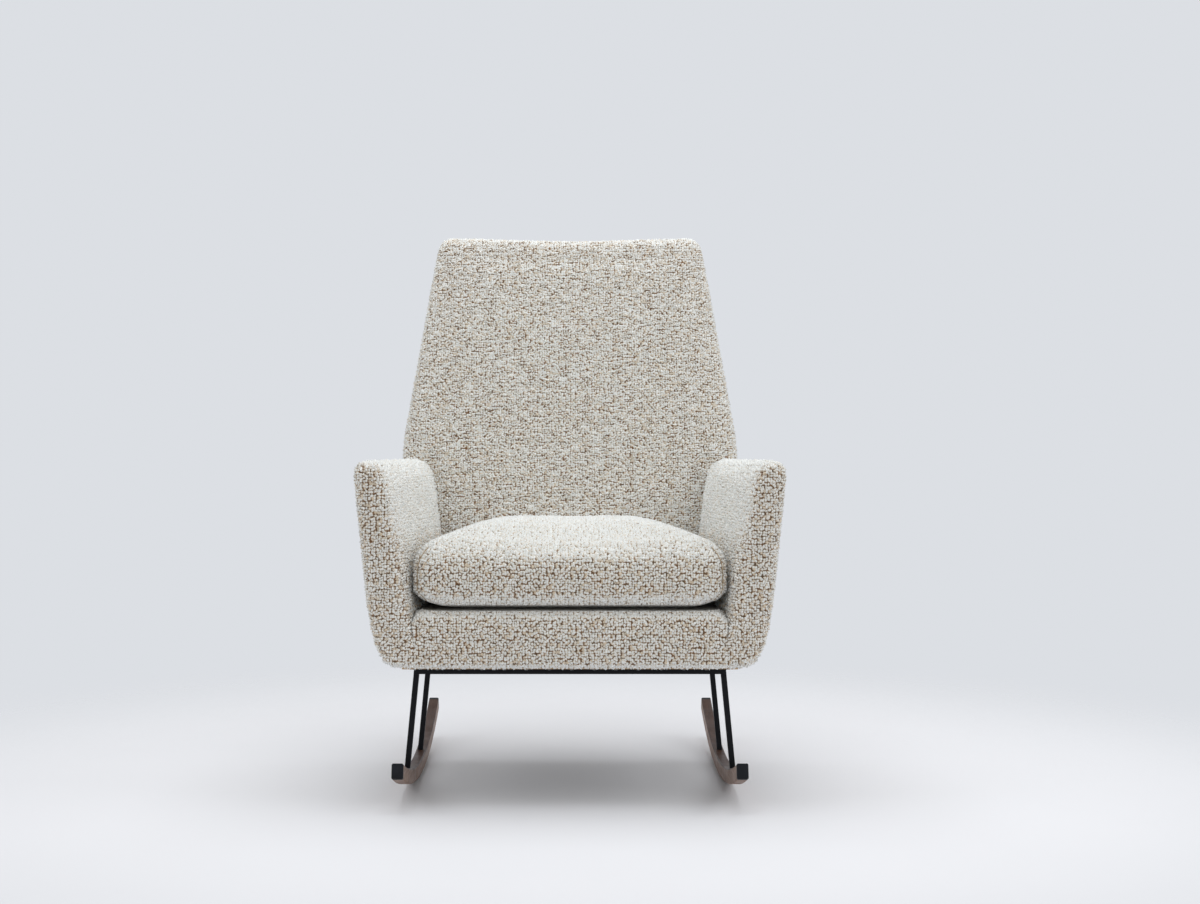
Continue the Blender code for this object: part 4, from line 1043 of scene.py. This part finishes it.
class ROCKINGCHAIR_OT_arms(bpy.types.Operator):
    """Fill and cover both arms"""

    bl_idname = "rocking_chair.arms"
    bl_label = "Arms"

    def execute(self, context):
        swell = context.scene.chair_padding.arm_swell
        for side in SIDES:
            arm = pad_from_node(f"{side}_arm_pad", f"{side}_arm", swell, shape=cleared_below)
            add_nap(arm)
            hand_over(arm, "chair", f"{side}_arm_pad")
        return {"FINISHED"}


class ROCKINGCHAIR_OT_apron(bpy.types.Operator):
    """Fill and cover the apron under the seat cushion"""

    bl_idname = "rocking_chair.apron"
    bl_label = "Apron"

    def execute(self, context):
        swell = context.scene.chair_padding.arm_swell
        apron = pad_from_node("front_apron", "apron", swell, shape=tucked_ends)
        add_nap(apron)
        hand_over(apron, "chair", "front_apron")
        return {"FINISHED"}


class ROCKINGCHAIR_OT_back(bpy.types.Operator):
    """Fill and cover the inside and the outside of the back"""

    bl_idname = "rocking_chair.back"
    bl_label = "Back"

    def execute(self, context):
        sizes = context.scene.chair_padding
        reach = 0.041  # the back has no loops where another piece stands this close before it
        for node, name, swell in (
            ("inside_back", "back_pad", sizes.back_swell),
            ("outside_back", "back_panel", sizes.arm_swell),
        ):
            pad = pad_from_node(node, name, swell, reach, reach, dipped_top)
            # Painted light: the back gets a share of painted paleness all over, for the pale look that light
            # from above gives it.
            add_nap(pad, "looped back cloth", across=1.05, along=0.75, painted_paleness=0.4)
            hand_over(pad, "chair", node)
        return {"FINISHED"}


class ROCKINGCHAIR_OT_cushion(bpy.types.Operator):
    """Fill and cover the loose seat cushion"""

    bl_idname = "rocking_chair.cushion"
    bl_label = "Seat cushion"

    def execute(self, context):
        sizes = context.scene.chair_padding
        cushion = pad_from_node("seat_cushion", "seat_pad", sizes.cushion_swell, shape=plump)
        lines = {side: self.corner_line(cushion, sizes, way) for side, way in SIDES.items()}
        for points, _ in lines.values():
            crease(cushion, points, sizes.seam_depth, sizes.seam_width)
        add_nap(cushion)
        hand_over(cushion, "cushion", "seat_cushion")
        for side, (points, normals) in lines.items():
            self.sew(f"{side}_cushion_seam", points, normals)
        return {"FINISHED"}

    def corner_line(self, pad, sizes, side):
        """Points up one front corner of the cushion, and the way that each faces."""
        low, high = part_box("seat_cushion")
        middle = (side * (high[0] - sizes.corner_radius), low[1] + sizes.corner_radius)
        way = Vector((side * math.sin(sizes.seam_turn), -math.cos(sizes.seam_turn), 0.0))
        surface = search_tree([pad.data])
        heights = np.linspace(low[2] + sizes.seam_start, low[2] + sizes.seam_end, 40)
        hits = [surface.ray_cast(Vector((*middle, height)), way) for height in heights]
        return [hit[0] for hit in hits], [hit[1] for hit in hits]

    def sew(self, name, points, normals):
        cloth = bpy.context.scene.chair_cloth
        spacing = cloth.stitch_length * 1.15  # with a short gap after each stitch
        sizes = (spacing, cloth.stitch_length, cloth.stitch_width)
        seam = lay_stitches(name, points, normals, sizes, "sewing thread")
        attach(seam, "cushion")


class ROCKINGCHAIR_OT_deck(bpy.types.Operator):
    """Make the pad that the seat cushion lies on"""

    bl_idname = "rocking_chair.deck"
    bl_label = "Deck pad"

    def execute(self, context):
        deck = pad_from_node("deck_pad", "deck", 0.0, rounds=1)
        put_on(deck_wadding(), deck.data)
        deck.data.shade_smooth()
        hand_over(deck, "chair", "deck_pad")
        return {"FINISHED"}


class ROCKINGCHAIR_OT_dust_cover(bpy.types.Operator):
    """Stretch the dust cover under the seat and staple it round its edge"""

    bl_idname = "rocking_chair.dust_cover"
    bl_label = "Dust cover"

    def execute(self, context):
        sizes = context.scene.chair_linings
        low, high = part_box("dust_cover")
        halves = [self.half_width(edge) - sizes.cover_inset for edge in (low[1], high[1])]
        front = low[1] + sizes.cover_inset
        rear = high[1] - sizes.cover_inset
        level = 0.5 * (low[2] + high[2])
        count = 61
        rows = []
        for depth, half in zip(np.linspace(front, rear, count), np.linspace(*halves, count)):
            sag = sizes.cover_sag * self.hang(depth)
            shares = np.linspace(-1.0, 1.0, count)
            rows.append([(half * share, depth, level - sag * (1.0 - share**2) ** 2) for share in shares])
        cloth = woven("lining cloth", (0.030, 0.030, 0.032), (0.010, 0.010, 0.011), 0.0011)
        cover = cloth_sheets("dust_lining", [rows], cloth, sizes.cover_thickness)
        staples = self.make_staples(sizes, front, rear, halves, level - 0.5 * sizes.cover_thickness)
        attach(cover, "chair")
        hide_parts("dust_cover")
        return {"FINISHED"}

    def half_width(self, edge):
        """Half the width of the CAD dust cover at its front or rear edge."""
        corners = [vertex.co for vertex in NODES["dust_cover"].data.vertices]
        return max(abs(point.x) for point in corners if abs(point.y - edge) < 1e-4)

    def hang(self, depth):
        """How much the cover hangs at this depth: all of it midway between the base's two cross rails."""
        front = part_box("base_front_rail")[1][1]
        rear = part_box("base_rear_rail")[0][1]
        return math.sin(math.pi * min(1.0, max(0.0, (depth - front) / (rear - front)))) ** 2

    def make_staples(self, sizes, front, rear, halves, level):
        inset = sizes.staple_inset
        wide = halves[0] - inset
        narrow = halves[1] - inset
        corners = [
            (-wide, front + inset, level),
            (wide, front + inset, level),
            (narrow, rear - inset, level),
            (-narrow, rear - inset, level),
        ]
        wires = (sizes.staple_spacing, sizes.staple_length, sizes.staple_width)
        downwards = [(0.0, 0.0, -1.0)] * len(corners)
        staples = lay_stitches("dust_cover_staples", corners, downwards, wires, "zinc", closed=True)
        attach(staples, "chair")
        return staples


class ROCKINGCHAIR_OT_straps(bpy.types.Operator):
    """Interlace the straps that carry the padding of the back"""

    bl_idname = "rocking_chair.straps"
    bl_label = "Back straps"

    def execute(self, context):
        sizes = context.scene.chair_linings
        low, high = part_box("back_webbing")
        corners = [vertex.co for vertex in NODES["back_webbing"].data.vertices]
        levels = sorted({round(point.z, 4) for point in corners if point.x > 0.5 * high[0]})
        rows = list(zip(levels[::2], levels[1::2]))
        edges = sorted({round(point.x, 4) for point in corners if abs(point.x) < 0.5 * high[0]})
        columns = list(zip(edges[::2], edges[1::2]))
        lean = (high[1] - low[1]) / (high[2] - low[2])
        front = low[1] + 0.5 * sizes.strap_thickness
        sheets = []
        for index, (bottom, top) in enumerate(rows):
            half = max(point.x for point in corners if abs(point.z - bottom) < 1e-3)
            places = [(x, front + self.wave(x, columns, index)) for x in np.linspace(-half, half, 81)]
            heights = np.linspace(bottom, top, 5)
            sheets.append([[(x, y + lean * (z - low[2]), z) for x, y in places] for z in heights])
        for index, (left, right) in enumerate(columns):
            heights = np.linspace(low[2], high[2], 121)
            places = [(front + lean * (z - low[2]) - self.wave(z, rows, index), z) for z in heights]
            sheets.append([[(x, y, z) for x in np.linspace(left, right, 5)] for y, z in places])
        strap = woven("webbing", (0.46, 0.36, 0.22), (0.22, 0.15, 0.08), 0.0018)
        straps = cloth_sheets("back_straps", sheets, strap, sizes.strap_thickness)
        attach(straps, "chair")
        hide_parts("back_webbing")
        return {"FINISHED"}

    def wave(self, place, crossings, index):
        """How far a strap gives way at this place, over one crossing strap and under the next."""
        total = 0.0
        for crossing, (start, end) in enumerate(crossings):
            middle = 0.5 * (start + end)
            way = 1.0 if (crossing + index) % 2 else -1.0
            total += way * math.exp(-(((place - middle) / (0.8 * (end - start))) ** 2))
        return bpy.context.scene.chair_linings.strap_wave * total


class ROCKINGCHAIR_OT_rockers(bpy.types.Operator):
    """Finish the rockers, their caps, the steel base and what holds them together"""

    bl_idname = "rocking_chair.rockers"
    bl_label = "Rockers and base"

    def execute(self, context):
        look = context.scene.chair_finishes
        dress(rocker_wood(), nodes_with("_rocker"))
        dress(painted("black caps", look.cap_black, 0.38, 0.52, 1400.0), nodes_with("_cap"))
        steel = painted("black steel", look.steel_paint, 0.42, 0.56, 1900.0)
        dress(steel, nodes_with(("_leg", "_mount_tab")) + nodes_with(start="base_"))
        zinc = bare_metal("zinc", (0.62, 0.62, 0.60), (0.46, 0.47, 0.48), 0.28, 0.46)
        dress(zinc, nodes_with(("_screw", "_bolt")))
        return {"FINISHED"}


class ROCKINGCHAIR_OT_hidden_frame(bpy.types.Operator):
    """Finish the timber and the springs inside"""

    bl_idname = "rocking_chair.hidden_frame"
    bl_label = "Hidden frame"

    def execute(self, context):
        rails = nodes_with("_rail", start=("seat_", "back_"))
        dress(frame_timber(), nodes_with(("_corner_block", "_board", "_stile")) + rails)
        steel = bare_metal("spring steel", (0.34, 0.33, 0.32), (0.20, 0.19, 0.18), 0.25, 0.42)
        dress(steel, nodes_with(start="seat_spring"))
        return {"FINISHED"}


class ROCKINGCHAIR_PT_builder(bpy.types.Panel):
    """The steps that dress the chair, and their sizes"""

    bl_idname = "ROCKINGCHAIR_PT_builder"
    bl_label = "Rocking Chair"
    bl_space_type = "VIEW_3D"
    bl_region_type = "UI"
    bl_category = "Rocking Chair"

    def draw(self, context):
        for operator in STEPS:
            self.layout.operator(operator.bl_idname)
        for holder, group in HOLDERS.items():
            box = self.layout.box()
            for name in group.__annotations__:
                box.prop(getattr(context.scene, holder), name)


HOLDERS = {
    "chair_cloth": ClothSizes,
    "chair_padding": PaddingSizes,
    "chair_linings": LiningSizes,
    "chair_finishes": FrameFinishes,
    "chair_stage": StageSizes,
}
STEPS = (
    ROCKINGCHAIR_OT_stage,
    ROCKINGCHAIR_OT_cloth,
    ROCKINGCHAIR_OT_arms,
    ROCKINGCHAIR_OT_apron,
    ROCKINGCHAIR_OT_back,
    ROCKINGCHAIR_OT_cushion,
    ROCKINGCHAIR_OT_rockers,
    ROCKINGCHAIR_OT_hidden_frame,
    ROCKINGCHAIR_OT_deck,
    ROCKINGCHAIR_OT_dust_cover,
    ROCKINGCHAIR_OT_straps,
)
CLASSES = (*HOLDERS.values(), *STEPS, ROCKINGCHAIR_PT_builder)


def register():
    for item in CLASSES:
        bpy.utils.register_class(item)
    for holder, group in HOLDERS.items():
        setattr(bpy.types.Scene, holder, bpy.props.PointerProperty(type=group))


def unregister():
    for holder in HOLDERS:
        delattr(bpy.types.Scene, holder)
    for item in reversed(CLASSES):
        bpy.utils.unregister_class(item)


def main():
    register()
    for operator in STEPS:
        group, name = operator.bl_idname.split(".")
        getattr(getattr(bpy.ops, group), name)()


if __name__ == "__main__":
    main()
